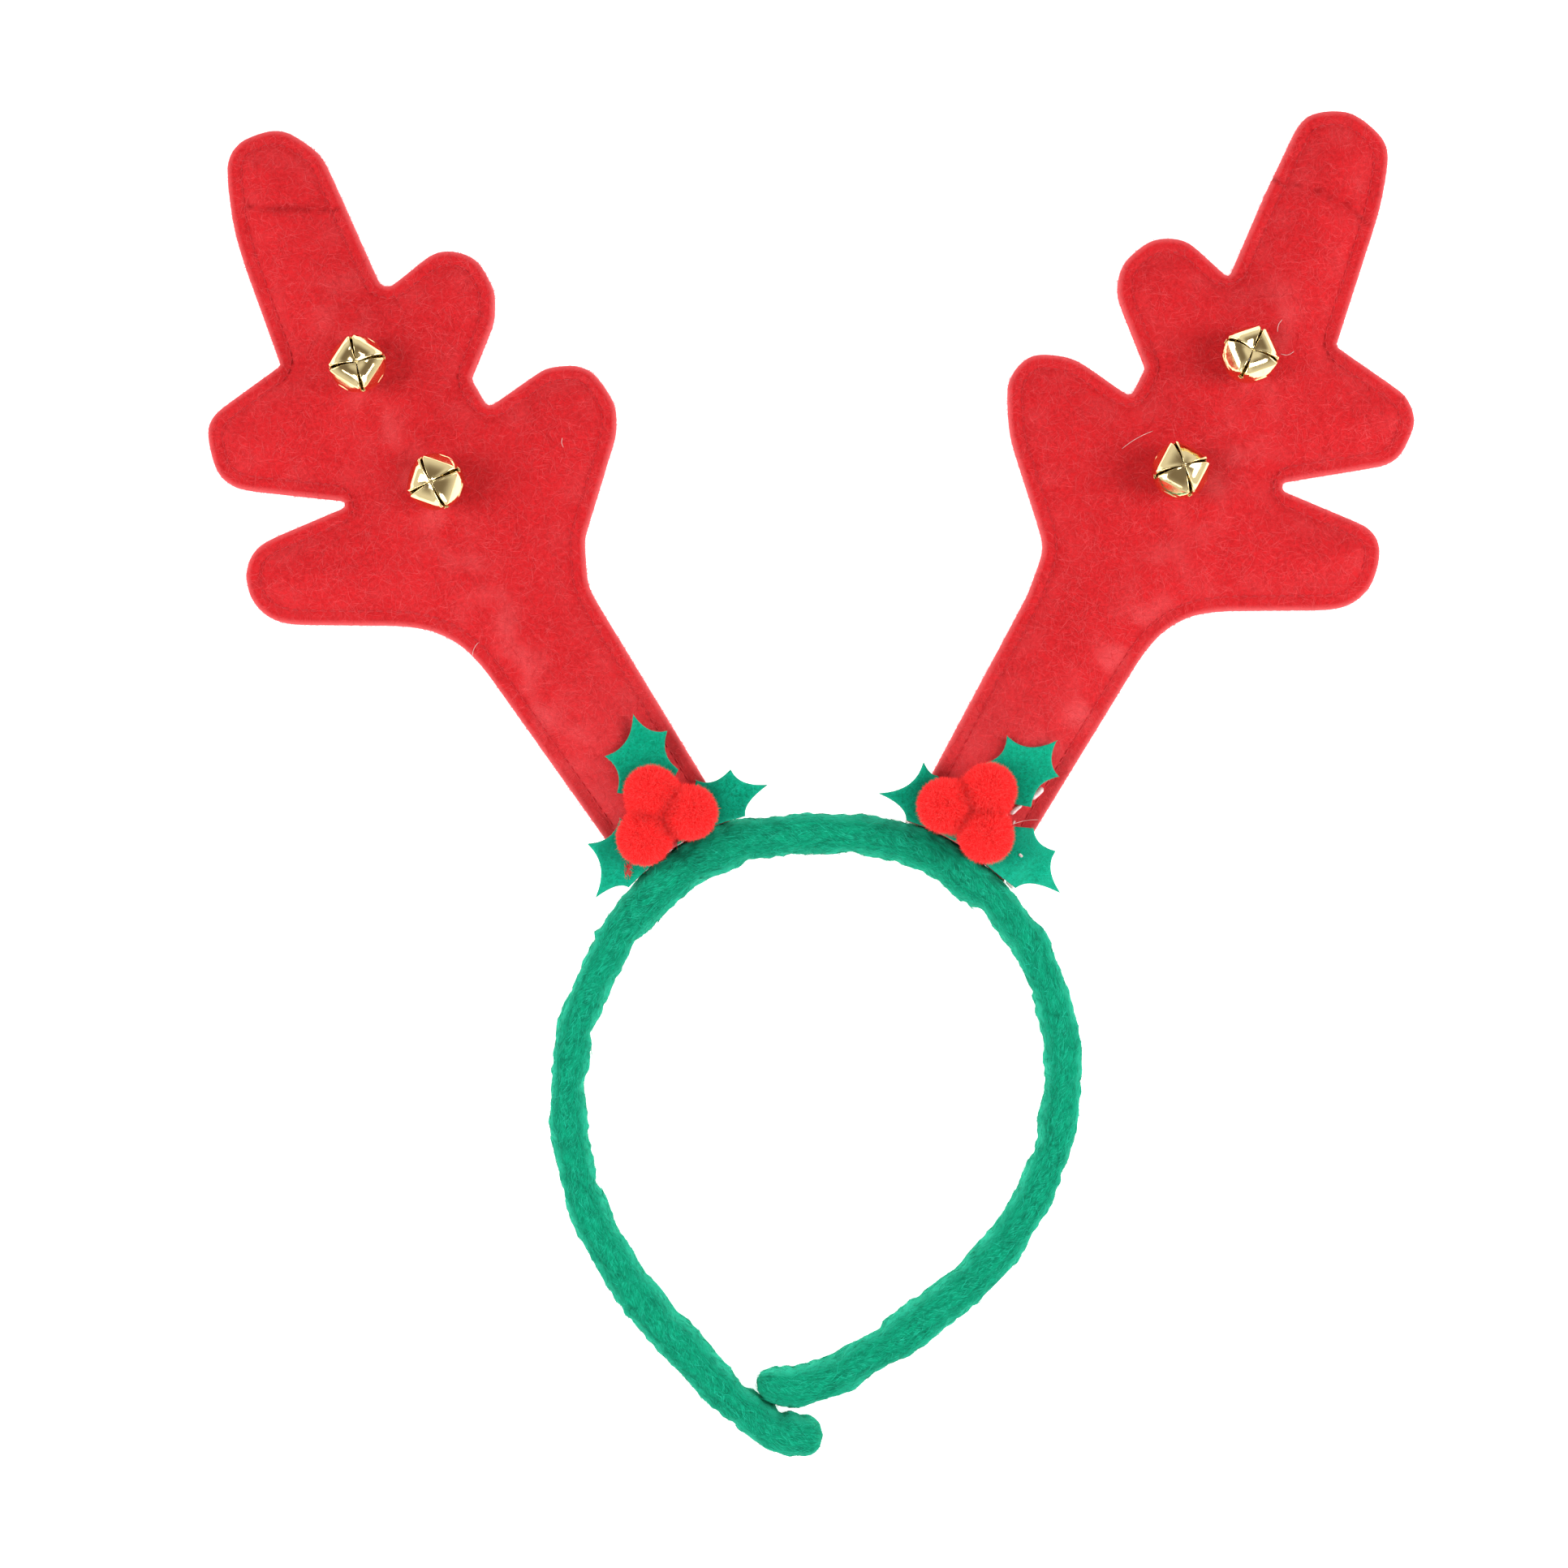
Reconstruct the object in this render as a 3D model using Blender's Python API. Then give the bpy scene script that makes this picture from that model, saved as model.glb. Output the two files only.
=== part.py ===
"""Reindeer antler headband: two sewn felt antlers with bells and holly on a felt-wrapped band.

It lies on its back on a flat surface. X runs across the antlers, Y from the band's open ends to the
antlers' tips, Z up from the surface. Lengths are metres; the tables below hold millimetres.
"""
import math

import bmesh
import bpy
from mathutils import Matrix, Vector
from mathutils.geometry import delaunay_2d_cdt

MM = 0.001

# Felt, seam and filling
GAP = 0.3 * MM              # clearance that touching pieces keep
FELT = 1.4 * MM             # thickness of an antler's sheet
SEAM_INSET = 3.3 * MM       # from the cut edge to the stitched line
FRONT_SWELL = 3.2 * MM      # how far the front sheet rises inside its seam
BACK_SWELL = 2.0 * MM       # how far the back sheet would sink if nothing stopped it
SWELL_REACH = 12.0 * MM     # distance from the seam at which the swelling levels out
REST_MIDDLE = 3.15 * MM     # height of the seam where the antler lies on the surface
ROOT_MIDDLE = 6.2 * MM      # height of the seam where the antler meets the band
ROOT_FALL = 70.0 * MM       # length over which it comes down
CREASE_DEPTH = 0.8 * MM
CREASE_HALF = 2.2 * MM
EDGE_STEP = 12.0 * MM       # longest straight piece of an outline
EDGE_LEAST = 0.2 * MM       # shortest piece of an outline
ARC_STEP = math.radians(24.0)
GRID_STEP = 13.0 * MM
GRID_INSET = 15.0 * MM

# Band
BAND_HEIGHT = 11.0 * MM
GATHER_PITCH = 12.4 * MM
GATHER_DEPTH = 0.7 * MM
TIP_LENGTH = 3.5 * MM

# Dimples in the front sheets, where the bells are sewn down
DIMPLE_DEPTH = 1.2 * MM
DIMPLE_REACH = 6.0 * MM
DIMPLE_SPOTS = 8

# Holly
LEAF_FELT = 1.2 * MM
LEAF_REACH = 20.0 * MM      # distance from its berry at which a leaf's droop is stated
SCALLOP = 0.2               # depth of a bay between two spikes, over its width
BERRY_RADIUS = 6.7 * MM
LOCK_RISE = 1.1             # tip of a lock over the ball's radius

# Bells
BELL_SHELL = 0.5 * MM
SLOT_HALF = 0.4 * MM
SHANK_RADIUS = 1.3 * MM
SHANK_WIRE = 0.4 * MM
SHANK_CENTRE = -6.3 * MM
BELL_FOOT = SHANK_RADIUS + SHANK_WIRE - SHANK_CENTRE
PEA_RADIUS = 1.5 * MM

# Rows of points inside an antler's outline: distance from the edge, least spacing
INSET_ROWS = (
    (3.3, 4.5),
    (6.9, 6.5),
    (11.2, 7.5),
)

# Centre line of the band, from the tip of the left arm over the top to the tip of the right arm
# x, y, width in the plane
BAND_ROWS = (
    (2.9, -152.6, 7.4),
    (-3.8, -152.4, 9.2),
    (-9.6, -150.6, 8.9),
    (-16.3, -145.4, 8.6),
    (-22.8, -139.3, 9.2),
    (-38.6, -122.0, 9.7),
    (-50.2, -103.5, 8.9),
    (-56.1, -83.5, 8.5),
    (-55.8, -63.0, 8.3),
    (-49.3, -43.9, 8.5),
    (-37.5, -26.9, 9.8),
    (-20.3, -15.3, 10.5),
    (1.2, -12.1, 9.0),
    (21.4, -14.1, 9.5),
    (35.1, -21.3, 9.7),
    (48.3, -34.0, 8.0),
    (57.0, -52.8, 8.5),
    (58.6, -73.0, 8.5),
    (55.0, -89.5, 8.4),
    (47.2, -105.0, 8.8),
    (35.2, -118.4, 9.7),
    (20.0, -130.0, 9.5),
    (9.8, -136.2, 8.7),
    (-0.5, -140.7, 9.2),
    (-6.8, -140.8, 8.4),
    (-12.6, -139.6, 6.0),
)

# Section of the band: across from the inner side to the outer side, and up
BAND_SECTION = (
    (-0.45, 0.0), (0.45, 0.0), (0.85, 0.12), (1.0, 0.35), (1.0, 0.65), (0.85, 0.88),
    (0.45, 1.0), (-0.45, 1.0), (-0.85, 0.88), (-1.0, 0.65), (-1.0, 0.35), (-0.85, 0.12),
)

# Corners of each antler from the outer side of its foot round to the inner side: x, y, radius
LEFT_CORNERS = (
    (-38.8, -26.1, 0.0),
    (-83.5, 36.5, 23.0),
    (-132.5, 37.0, 11.0),
    (-132.0, 54.5, 9.0),
    (-106.0, 65.5, 1.0),
    (-138.5, 69.0, 8.5),
    (-142.0, 84.5, 7.0),
    (-124.0, 97.5, 0.5),
    (-135.6, 129.5, 60.0),
    (-137.0, 149.0, 8.0),
    (-124.0, 153.5, 8.5),
    (-114.5, 147.0, 10.0),
    (-100.0, 114.5, 2.5),
    (-87.0, 125.0, 8.0),
    (-78.0, 123.0, 8.0),
    (-74.0, 115.0, 7.0),
    (-74.0, 108.0, 11.0),
    (-79.5, 94.5, 1.0),
    (-75.5, 87.5, 1.5),
    (-62.0, 97.0, 8.0),
    (-52.0, 98.0, 8.0),
    (-45.5, 88.5, 8.5),
    (-45.5, 81.5, 13.0),
    (-53.0, 57.0, 8.0),
    (-52.3, 45.8, 12.0),
    (-17.2, -12.0, 0.0),
)
RIGHT_CORNERS = (
    (42.4, -27.4, 0.0),
    (84.0, 40.0, 21.0),
    (130.9, 40.4, 11.5),
    (134.2, 58.2, 7.0),
    (107.0, 69.6, 1.3),
    (137.5, 74.6, 7.5),
    (142.0, 84.5, 6.0),
    (139.5, 90.5, 7.0),
    (123.0, 102.0, 0.5),
    (133.8, 135.5, 60.0),
    (135.8, 149.5, 8.0),
    (126.5, 157.5, 9.0),
    (115.5, 156.5, 7.0),
    (106.4, 137.4, 4.5),
    (98.0, 117.8, 1.0),
    (88.0, 127.0, 7.0),
    (80.0, 127.5, 8.0),
    (73.0, 121.5, 7.0),
    (71.5, 114.5, 9.0),
    (78.5, 97.0, 1.0),
    (75.0, 90.0, 1.5),
    (61.5, 99.5, 12.0),
    (51.0, 100.5, 7.0),
    (46.0, 94.0, 7.5),
    (46.5, 81.5, 28.0),
    (55.0, 55.0, 8.5),
    (50.9, 43.8, 13.5),
    (21.2, -11.5, 0.0),
)

# Fold across the top tine of each antler: x, y
LEFT_CREASE = ((-131.5, 134.5), (-121.0, 133.5), (-110.5, 134.0))
RIGHT_CREASE = ((108.0, 141.0), (118.5, 138.0), (125.0, 135.0), (130.5, 130.5))

# Leaves: the berry that holds each one, its droop, its spikes going round, then the corners of the
# heel that lies along the band or under the berries: x, y
LEAF_ROWS = (
    ("left_1", 0.0, ((-44.9, -2.5), (-47.8, 6.0), (-41.2, 15.7), (-33.3, 11.9), (-30.7, 2.9)),
     ((-34.6, -4.2),)),
    ("left_2", 1.4, ((-26.5, 0.4), (-18.6, 3.0), (-9.9, -0.6), (-15.2, -7.9)),
     ((-21.5, -9.7), (-27.0, -12.2), (-31.0, -14.6), (-29.6, -8.0))),
    ("left_3", 0.9, ((-44.2, -8.5), (-51.9, -14.3), (-50.0, -26.9), (-42.2, -24.4)),
     ((-38.0, -20.2), (-33.4, -16.4), (-35.2, -12.2))),
    ("right_1", 0.3, ((40.5, 4.4), (45.6, 10.7), (57.1, 9.6), (57.6, 1.3), (51.1, -5.8)),
     ((42.0, -4.2),)),
    ("right_2", 1.6, ((29.4, 1.5), (26.2, 4.7), (15.7, -2.6), (22.2, -8.9)),
     ((28.0, -10.8), (34.0, -14.0), (33.4, -3.6))),
    ("right_3", 1.0, ((51.7, -10.7), (56.9, -16.0), (58.0, -25.8), (47.5, -24.6)),
     ((42.4, -20.6), (36.2, -15.4), (38.8, -9.6))),
)

# Berries: x, y, height of the centre over the leaf it sits on
BERRY_ROWS = (
    ("left_1", -36.7, -2.5, 6.3),
    ("left_2", -27.8, -7.0, 6.1),
    ("left_3", -38.3, -12.8, 5.9),
    ("right_1", 40.9, -1.9, 6.1),
    ("right_2", 30.7, -5.4, 6.0),
    ("right_3", 40.2, -12.3, 6.4),
)

# Bells: x, y, turn of the slots, tilt, heading of the tilt in degrees, height of the petals' tips
BELL_ROWS = (
    ("left_upper", -104.5, 96.3, 13.0, 4.0, 90.0, 3.7),
    ("left_lower", -86.4, 69.3, 26.0, 11.0, 210.0, 5.3),
    ("right_upper", 101.2, 98.5, 66.0, 14.0, 65.0, 3.7),
    ("right_lower", 85.1, 71.7, 17.0, 12.0, 65.0, 5.3),
)

# Rings of a bell from the back of the dome to the front: height, reach at a side, reach at a corner
BELL_RINGS = (
    (-5.6, 3.1, 3.1),
    (-2.7, 5.85, 5.85),
    (0.4, 6.5, 6.5),
    (2.9, 5.6, 6.4),
    (4.3, 4.7, 6.15),
    (4.8, 2.9, 3.7),
)
BELL_BACK = -6.5
PETAL_TIP = 0.9
SLOT_RING = 2               # the slots start at this ring

# Colours of the materials: base colour, roughness, metallic
FINISHES = {
    "red_felt": ((0.74, 0.03, 0.035), 0.95, 0.0),
    "green_felt": ((0.005, 0.33, 0.17), 0.95, 0.0),
    "leaf_felt": ((0.008, 0.36, 0.22), 0.95, 0.0),
    "red_pile": ((0.85, 0.02, 0.025), 0.95, 0.0),
    "brass": ((0.75, 0.66, 0.38), 0.22, 1.0),
    "steel": ((0.55, 0.55, 0.56), 0.35, 1.0),
}


def metres(row):
    """A table row's x and y as a point in metres."""
    return Vector((row[0], row[1])) * MM


def material(name):
    """One Principled material from the table of finishes, made once."""
    if name in bpy.data.materials:
        return bpy.data.materials[name]
    colour, roughness, metallic = FINISHES[name]
    made = bpy.data.materials.new(name)
    made.use_nodes = True
    shader = made.node_tree.nodes["Principled BSDF"]
    shader.inputs["Base Color"].default_value = (*colour, 1.0)
    shader.inputs["Roughness"].default_value = roughness
    shader.inputs["Metallic"].default_value = metallic
    return made


def add_object(name, mesh_data, finish):
    """A bmesh as a named object of the scene with its material."""
    mesh = bpy.data.meshes.new(name)
    mesh_data.to_mesh(mesh)
    mesh_data.free()
    mesh.materials.append(material(finish))
    piece = bpy.data.objects.new(name, mesh)
    bpy.context.scene.collection.objects.link(piece)
    return piece


def shade_round(piece, angle):
    """Smooth shading that keeps edges sharper than the angle, in degrees."""
    piece.data.shade_smooth()
    piece.data.set_sharp_from_angle(angle=math.radians(angle))


def smooth_rows(rows, per_span):
    """Rows read from the Catmull-Rom curve through the given rows, in metres."""
    points = [Vector(row) * MM for row in rows]
    padded = [points[0] * 2 - points[1], *points, points[-1] * 2 - points[-2]]
    curve = []
    for before, start, end, after in zip(padded, padded[1:], padded[2:], padded[3:]):
        for step in range(per_span):
            t = step / per_span
            curve.append(0.5 * (
                2 * start + (end - before) * t
                + (2 * before - 5 * start + 4 * end - after) * t ** 2
                + (3 * start - before - 3 * end + after) * t ** 3
            ))
    curve.append(points[-1])
    return curve


def distance_to_run(point, run):
    """Shortest distance from a point to the line through the run's points."""
    nearest = math.inf
    for start, end in zip(run, run[1:]):
        step = end - start
        along = max(0.0, min(1.0, (point - start).dot(step) / step.length_squared))
        nearest = min(nearest, (start + step * along - point).length)
    return nearest


class BandLine:
    """The band's centre line, read by distance along it."""

    def __init__(self, rows):
        self.rows = smooth_rows(rows, 24)
        self.reach = [0.0]
        for start, end in zip(self.rows, self.rows[1:]):
            self.reach.append(self.reach[-1] + (end.xy - start.xy).length)
        self.length = self.reach[-1]

    def station(self, along):
        """Centre, outward direction and half width at a distance along the line."""
        index = 0
        while index < len(self.reach) - 2 and self.reach[index + 1] < along:
            index += 1
        start, end = self.rows[index], self.rows[index + 1]
        share = (along - self.reach[index]) / (self.reach[index + 1] - self.reach[index])
        row = start.lerp(end, share)
        onward = (end.xy - start.xy).normalized()
        return row.xy, Vector((-onward.y, onward.x)), row.z / 2

    def nearest(self, point):
        """Distance along the line of the place nearest to a point."""
        order = range(len(self.rows))
        return self.reach[min(order, key=lambda index: (self.rows[index].xy - point).length)]

    def outer_side(self, along):
        """The place that a piece butting against the outer side reaches."""
        centre, outward, half = self.station(along)
        return centre + outward * (half + GAP)

    def clearance(self, point):
        """How far a point is from the band's outer side, the gap taken off."""
        along = self.nearest(point)
        centre, outward, half = self.station(along)
        return (point - centre).dot(outward) - half - GAP


def headband(line):
    """The wrapped band: one section for each pinch of the felt and two between pinches."""
    stations = gather_stations(line.length)
    mesh = bmesh.new()
    rings = []
    for along, pinch in stations:
        centre, outward, half = line.station(along)
        tip = min(1.0, min(along, line.length - along) / TIP_LENGTH)
        round_off = 0.5 + 0.5 * math.sqrt(1 - (1 - tip) ** 2)
        ring = []
        for across, up in BAND_SECTION:
            reach = across * half * round_off
            if across < 0:
                reach += pinch * GATHER_DEPTH * min(1.0, -across)
            place = centre + outward * reach
            height = BAND_HEIGHT * (0.5 + (up - 0.5) * round_off)
            ring.append(mesh.verts.new((place.x, place.y, height)))
        rings.append(ring)
    for first, second in zip(rings, rings[1:]):
        for one, other in zip(range(len(first)), [*range(1, len(first)), 0]):
            mesh.faces.new((first[one], second[one], second[other], first[other]))
    mesh.faces.new(rings[0])
    mesh.faces.new(reversed(rings[-1]))
    bmesh.ops.recalc_face_normals(mesh, faces=mesh.faces)
    piece = add_object("headband", mesh, "green_felt")
    shade_round(piece, 50)
    return piece


def gather_stations(length):
    """Distances along the band with how hard the felt is pinched there, from 0 to 1."""
    count = round((length - 2 * TIP_LENGTH) / GATHER_PITCH)
    pitch = (length - 2 * TIP_LENGTH) / count
    stations = [(0.0, 0.0), (TIP_LENGTH * 0.35, 0.0)]
    for index in range(count):
        start = TIP_LENGTH + index * pitch
        strength = 0.65 + 0.35 * math.sin(2.4 * index)
        stations += [(start, 0.0), (start + 0.35 * pitch, 0.15), (start + 0.6 * pitch, strength)]
    stations += [(length - TIP_LENGTH, 0.0), (length - TIP_LENGTH * 0.35, 0.0), (length, 0.0)]
    return stations


def rounded_run(corners):
    """Points along a line whose corners are rounded to their radius."""
    run = [metres(corners[0])]
    for before, corner, after in zip(corners, corners[1:], corners[2:]):
        run += corner_arc(metres(before), metres(corner), metres(after), corner[2] * MM)
    run.append(metres(corners[-1]))
    return split_long(run)


def corner_arc(before, corner, after, radius):
    """Points of the arc that touches both lines of a corner."""
    back = (before - corner).normalized()
    ahead = (after - corner).normalized()
    half_angle = back.angle(ahead) / 2
    touch = radius / math.tan(half_angle)
    centre = corner + (back + ahead).normalized() * (radius / math.sin(half_angle))
    start = corner + back * touch - centre
    turn = start.angle_signed(corner + ahead * touch - centre)
    steps = max(2, math.ceil(abs(turn) / ARC_STEP))
    arc = []
    for index in range(steps + 1):
        arc.append(centre + Matrix.Rotation(-turn * index / steps, 2) @ start)
    return arc


def split_long(run):
    """The same line with its long pieces divided evenly and its shortest ones dropped."""
    divided = [run[0]]
    for end in run[1:]:
        start = divided[-1]
        if (end - start).length < EDGE_LEAST:
            continue
        pieces = max(1, math.ceil((end - start).length / EDGE_STEP))
        for index in range(1, pieces + 1):
            divided.append(start.lerp(end, index / pieces))
    return divided


class Antler:
    """Outline and heights of one antler."""

    def __init__(self, corners, crease, bells, line):
        foot = [metres(corners[0]), metres(corners[-1])]
        self.edge = rounded_run(corners)
        self.edge = self.trim_to_band(self.edge, line)
        self.root = (foot[0] + foot[1]) / 2
        self.base = self.base_run(line)
        self.crease = [metres(row) for row in crease]
        self.bells = bells

    @staticmethod
    def trim_to_band(edge, line):
        """The sewn edge with both ends stopped at the band's side."""
        clear = [line.clearance(point) > 2 * EDGE_LEAST for point in edge]
        first = clear.index(True)
        last = len(clear) - 1 - clear[::-1].index(True)
        return [
            meet_band(edge[first - 1], edge[first], line),
            *edge[first:last + 1],
            meet_band(edge[last + 1], edge[last], line),
        ]

    def base_run(self, line):
        """Points along the band's side from the edge's last point back to its first."""
        start = line.nearest(self.edge[-1])
        end = line.nearest(self.edge[0])
        return [line.outer_side(start + (end - start) * share) for share in (0.2, 0.4, 0.6, 0.8)]

    def swell(self, point):
        """Rise of the filling from 0 at the seam to 1 well inside it."""
        inside = (distance_to_run(point, self.edge) - SEAM_INSET) / SWELL_REACH
        return 1 - (1 - max(0.0, min(1.0, inside))) ** 2

    def middle(self, point):
        """Height of the seam's plane, which comes down from the band to the surface."""
        fall = min(1.0, (point - self.root).length / ROOT_FALL)
        return REST_MIDDLE + (ROOT_MIDDLE - REST_MIDDLE) * (1 - fall * fall * (3 - 2 * fall))

    def front_under(self, point):
        """Lower face of the front sheet, folded across its top tine and dimpled under its bells."""
        fold = max(0.0, 1 - distance_to_run(point, self.crease) / CREASE_HALF)
        dimple = max(max(0.0, 1 - (point - spot).length / DIMPLE_REACH) for spot in self.bells)
        filled = self.swell(point) * (FRONT_SWELL - CREASE_DEPTH * fold)
        return self.middle(point) + GAP / 2 + filled - DIMPLE_DEPTH * dimple ** 2

    def back_under(self, point):
        """Lower face of the back sheet, flattened where it lies on the surface."""
        return max(0.0, self.middle(point) - GAP / 2 - FELT - BACK_SWELL * self.swell(point))

    def crest(self, point):
        """Height of whatever lies on the front sheet where its filling is fullest."""
        return self.middle(point) + GAP / 2 + FRONT_SWELL + FELT + GAP

    def crease_points(self):
        """Points along the fold and beside it, where the front sheet bends."""
        spine = split_long(self.crease)
        across = (spine[-1] - spine[0]).normalized().orthogonal() * CREASE_HALF
        return [point + across * side for side in (-1, 0, 1) for point in spine[1:-1]]

    def dimple_points(self):
        """The bottom of each dimple, a ring halfway up it and a ring round its rim."""
        points = []
        for spot in self.bells:
            points.append(spot)
            for reach in (0.5 * DIMPLE_REACH, DIMPLE_REACH):
                for index in range(DIMPLE_SPOTS):
                    turn = 2 * math.pi * index / DIMPLE_SPOTS
                    points.append(spot + Vector((math.cos(turn), math.sin(turn))) * reach)
        return points


def meet_band(near, far, line):
    """The place between two points where a stem's edge reaches the band's side."""
    for _ in range(30):
        half_way = (near + far) / 2
        if line.clearance(half_way) > 0:
            far = half_way
        else:
            near = half_way
    return far


def inset_points(run, inset, spacing):
    """Points at a distance inside a closed outline, no closer together than the spacing."""
    area = sum(start.cross(end) for start, end in zip(run, [*run[1:], run[0]]))
    side = 1 if area > 0 else -1
    closed = [*run, run[0]]
    kept = []
    for before, point, after in zip([run[-1], *run], run, [*run[1:], run[0]]):
        onward = (after - before).normalized()
        place = point + Vector((-onward.y, onward.x)) * side * inset
        clear = all((place - other).length > spacing for other in kept)
        if clear and distance_to_run(place, closed) > 0.96 * inset:
            kept.append(place)
    return kept


def grid_points(run, clearance, step):
    """Points of a staggered grid that lie clear of an outline."""
    closed = [*run, run[0]]
    low = Vector((min(point.x for point in run), min(point.y for point in run)))
    high = Vector((max(point.x for point in run), max(point.y for point in run)))
    points = []
    for row in range(int((high.y - low.y) / step) + 1):
        for column in range(int((high.x - low.x) / step) + 1):
            place = low + Vector((column + 0.5 * (row % 2), row)) * step
            if distance_to_run(place, closed) > clearance:
                points.append(place)
    return points


def felt_sheet(name, outline, inner, under, thickness, finish):
    """A closed sheet over an outline; under(point) is the height of its lower face."""
    edges = [(index, (index + 1) % len(outline)) for index in range(len(outline))]
    spots, _, faces, *_ = delaunay_2d_cdt([*outline, *inner], edges, [], 1, 1e-7)
    mesh = bmesh.new()
    low, high = {}, {}
    for index in sorted({corner for face in faces for corner in face}):
        height = under(spots[index])
        low[index] = mesh.verts.new((*spots[index], height))
        high[index] = mesh.verts.new((*spots[index], height + thickness))
    sides = set()
    for face in faces:
        one, two, three = face
        if (spots[two] - spots[one]).cross(spots[three] - spots[one]) < 0:
            two, three = three, two
        mesh.faces.new((high[one], high[two], high[three]))
        mesh.faces.new((low[one], low[three], low[two]))
        sides |= {(one, two), (two, three), (three, one)}
    for start, end in sorted(sides):
        if (end, start) not in sides:
            mesh.faces.new((low[start], low[end], high[end], high[start]))
    piece = add_object(name, mesh, finish)
    shade_round(piece, 40)
    return piece


def antler_sheets(side, antler):
    """The front and back sheets of one antler."""
    outline = [*antler.edge, *antler.base]
    inner = grid_points(outline, GRID_INSET, GRID_STEP)
    for inset, spacing in INSET_ROWS:
        inner += inset_points(outline, inset * MM, spacing * MM)
    shaped = [*antler.crease_points(), *antler.dimple_points()]
    for point in inner:
        off_fold = distance_to_run(point, antler.crease) > 1.6 * CREASE_HALF
        if off_fold and all((point - spot).length > 1.5 * DIMPLE_REACH for spot in antler.bells):
            shaped.append(point)
    felt_sheet(f"antler_{side}_front", outline, shaped, antler.front_under, FELT, "red_felt")
    felt_sheet(f"antler_{side}_back", outline, inner, antler.back_under, FELT, "red_felt")


def holly_leaf(name, spikes, heel, droop, hub, antler):
    """A leaf on the foot of an antler: bays from spike to spike and a straight-sided heel."""
    spikes = [metres(spike) for spike in spikes]
    heel = [metres(corner) for corner in heel]
    middle = sum([*spikes, *heel], Vector((0, 0))) / (len(spikes) + len(heel))
    outline = []
    for start, end in zip(spikes, spikes[1:]):
        inward = (middle - (start + end) / 2).normalized()
        depth = SCALLOP * (end - start).length
        for share in (0.0, 0.22, 0.5, 0.78):
            bay = 1 - (2 * share - 1) ** 2
            outline.append(start.lerp(end, share) + inward * depth * bay)
    outline += [spikes[-1], *heel]
    inner = [middle, *(middle.lerp(spike, 0.5) for spike in spikes)]

    def under(point):
        return antler.crest(point) - droop * MM * ((point - hub).length / LEAF_REACH) ** 2

    felt_sheet(f"holly_leaf_{name}", outline, inner, under, LEAF_FELT, "leaf_felt")


def berry(name, centre, neighbours, floor):
    """A pompom: locks on a ball, pressed flat on its leaf and against its neighbours."""
    mesh = bmesh.new()
    bmesh.ops.create_icosphere(mesh, subdivisions=2, radius=BERRY_RADIUS / LOCK_RISE)
    locks = bmesh.ops.poke(mesh, faces=mesh.faces)["verts"]
    for lock in locks:
        lock.co = lock.co.normalized() * BERRY_RADIUS
    for vertex in mesh.verts:
        place = centre + vertex.co
        for other in neighbours:
            towards = other - centre
            reach = (place - centre).dot(towards.normalized()) - (towards.length - GAP) / 2
            place -= towards.normalized() * max(0.0, reach)
        place.z = max(place.z, floor)
        vertex.co = place
    piece = add_object(f"berry_{name}", mesh, "red_pile")
    shade_round(piece, 60)


def holly(side, antler):
    """Three leaves and three berries at the foot of one antler."""
    centres, floors = {}, {}
    for name, x, y, up in BERRY_ROWS:
        if name.startswith(side):
            floors[name] = antler.crest(metres((x, y))) + LEAF_FELT + GAP
            centres[name] = Vector((x * MM, y * MM, floors[name] + up * MM))
    for name, centre in centres.items():
        berry(name, centre, [other for other in centres.values() if other is not centre], floors[name])
    for name, droop, spikes, heel in LEAF_ROWS:
        if name in centres:
            holly_leaf(name, spikes, heel, droop, centres[name].xy, antler)


def bell_azimuths(radius):
    """Directions of a ring's points: two edges and two points between for each petal."""
    slot = math.asin(min(0.9, SLOT_HALF / radius))
    quarter = math.pi / 2
    angles = []
    wide = quarter - 2 * slot
    for petal in range(4):
        for share in (0.0, 0.33, 0.67, 1.0):
            from_slot = slot + wide * share
            angles.append((petal * quarter + from_slot, from_slot - quarter / 2))
    return angles


def bell(name, place, turn, tilt, heading, tip_height):
    """A hollow bell: round dome, four petals that close its front, and a wire shank."""
    mesh = bmesh.new()
    rings = []
    for height, side, corner in (*BELL_RINGS, (tip_height, PETAL_TIP, PETAL_TIP)):
        ring = []
        for angle, from_side in bell_azimuths(corner * MM):
            reach = min(side / math.cos(from_side), corner) * MM
            ring.append(mesh.verts.new((reach * math.cos(angle), reach * math.sin(angle), height * MM)))
        rings.append(ring)
    back = mesh.verts.new((0, 0, BELL_BACK * MM))
    count = len(rings[0])
    for index in range(count):
        onward = (index + 1) % count
        mesh.faces.new((back, rings[0][onward], rings[0][index]))
        for level in range(len(rings) - 1):
            if index % 4 == 3 and level >= SLOT_RING:
                continue
            low, high = rings[level], rings[level + 1]
            mesh.faces.new((low[index], low[onward], high[onward], high[index]))
    bmesh.ops.recalc_face_normals(mesh, faces=mesh.faces)
    piece = add_object(f"bell_{name}", mesh, "brass")
    shade_round(piece, 40)
    shell = piece.modifiers.new("shell", "SOLIDIFY")
    shell.thickness = BELL_SHELL
    shell.offset = -1
    shell.use_even_offset = True
    shank = bell_shank(name, piece)
    join = piece.modifiers.new("shank", "BOOLEAN")
    join.operation = "UNION"
    join.object = shank
    lean = Matrix.Rotation(math.radians(tilt), 3, (-math.sin(math.radians(heading)),
                                                  math.cos(math.radians(heading)), 0))
    piece.location = place
    piece.rotation_euler = (lean @ Matrix.Rotation(math.radians(turn), 3, "Z")).to_euler()
    bell_pea(name, piece)
    return piece


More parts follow.
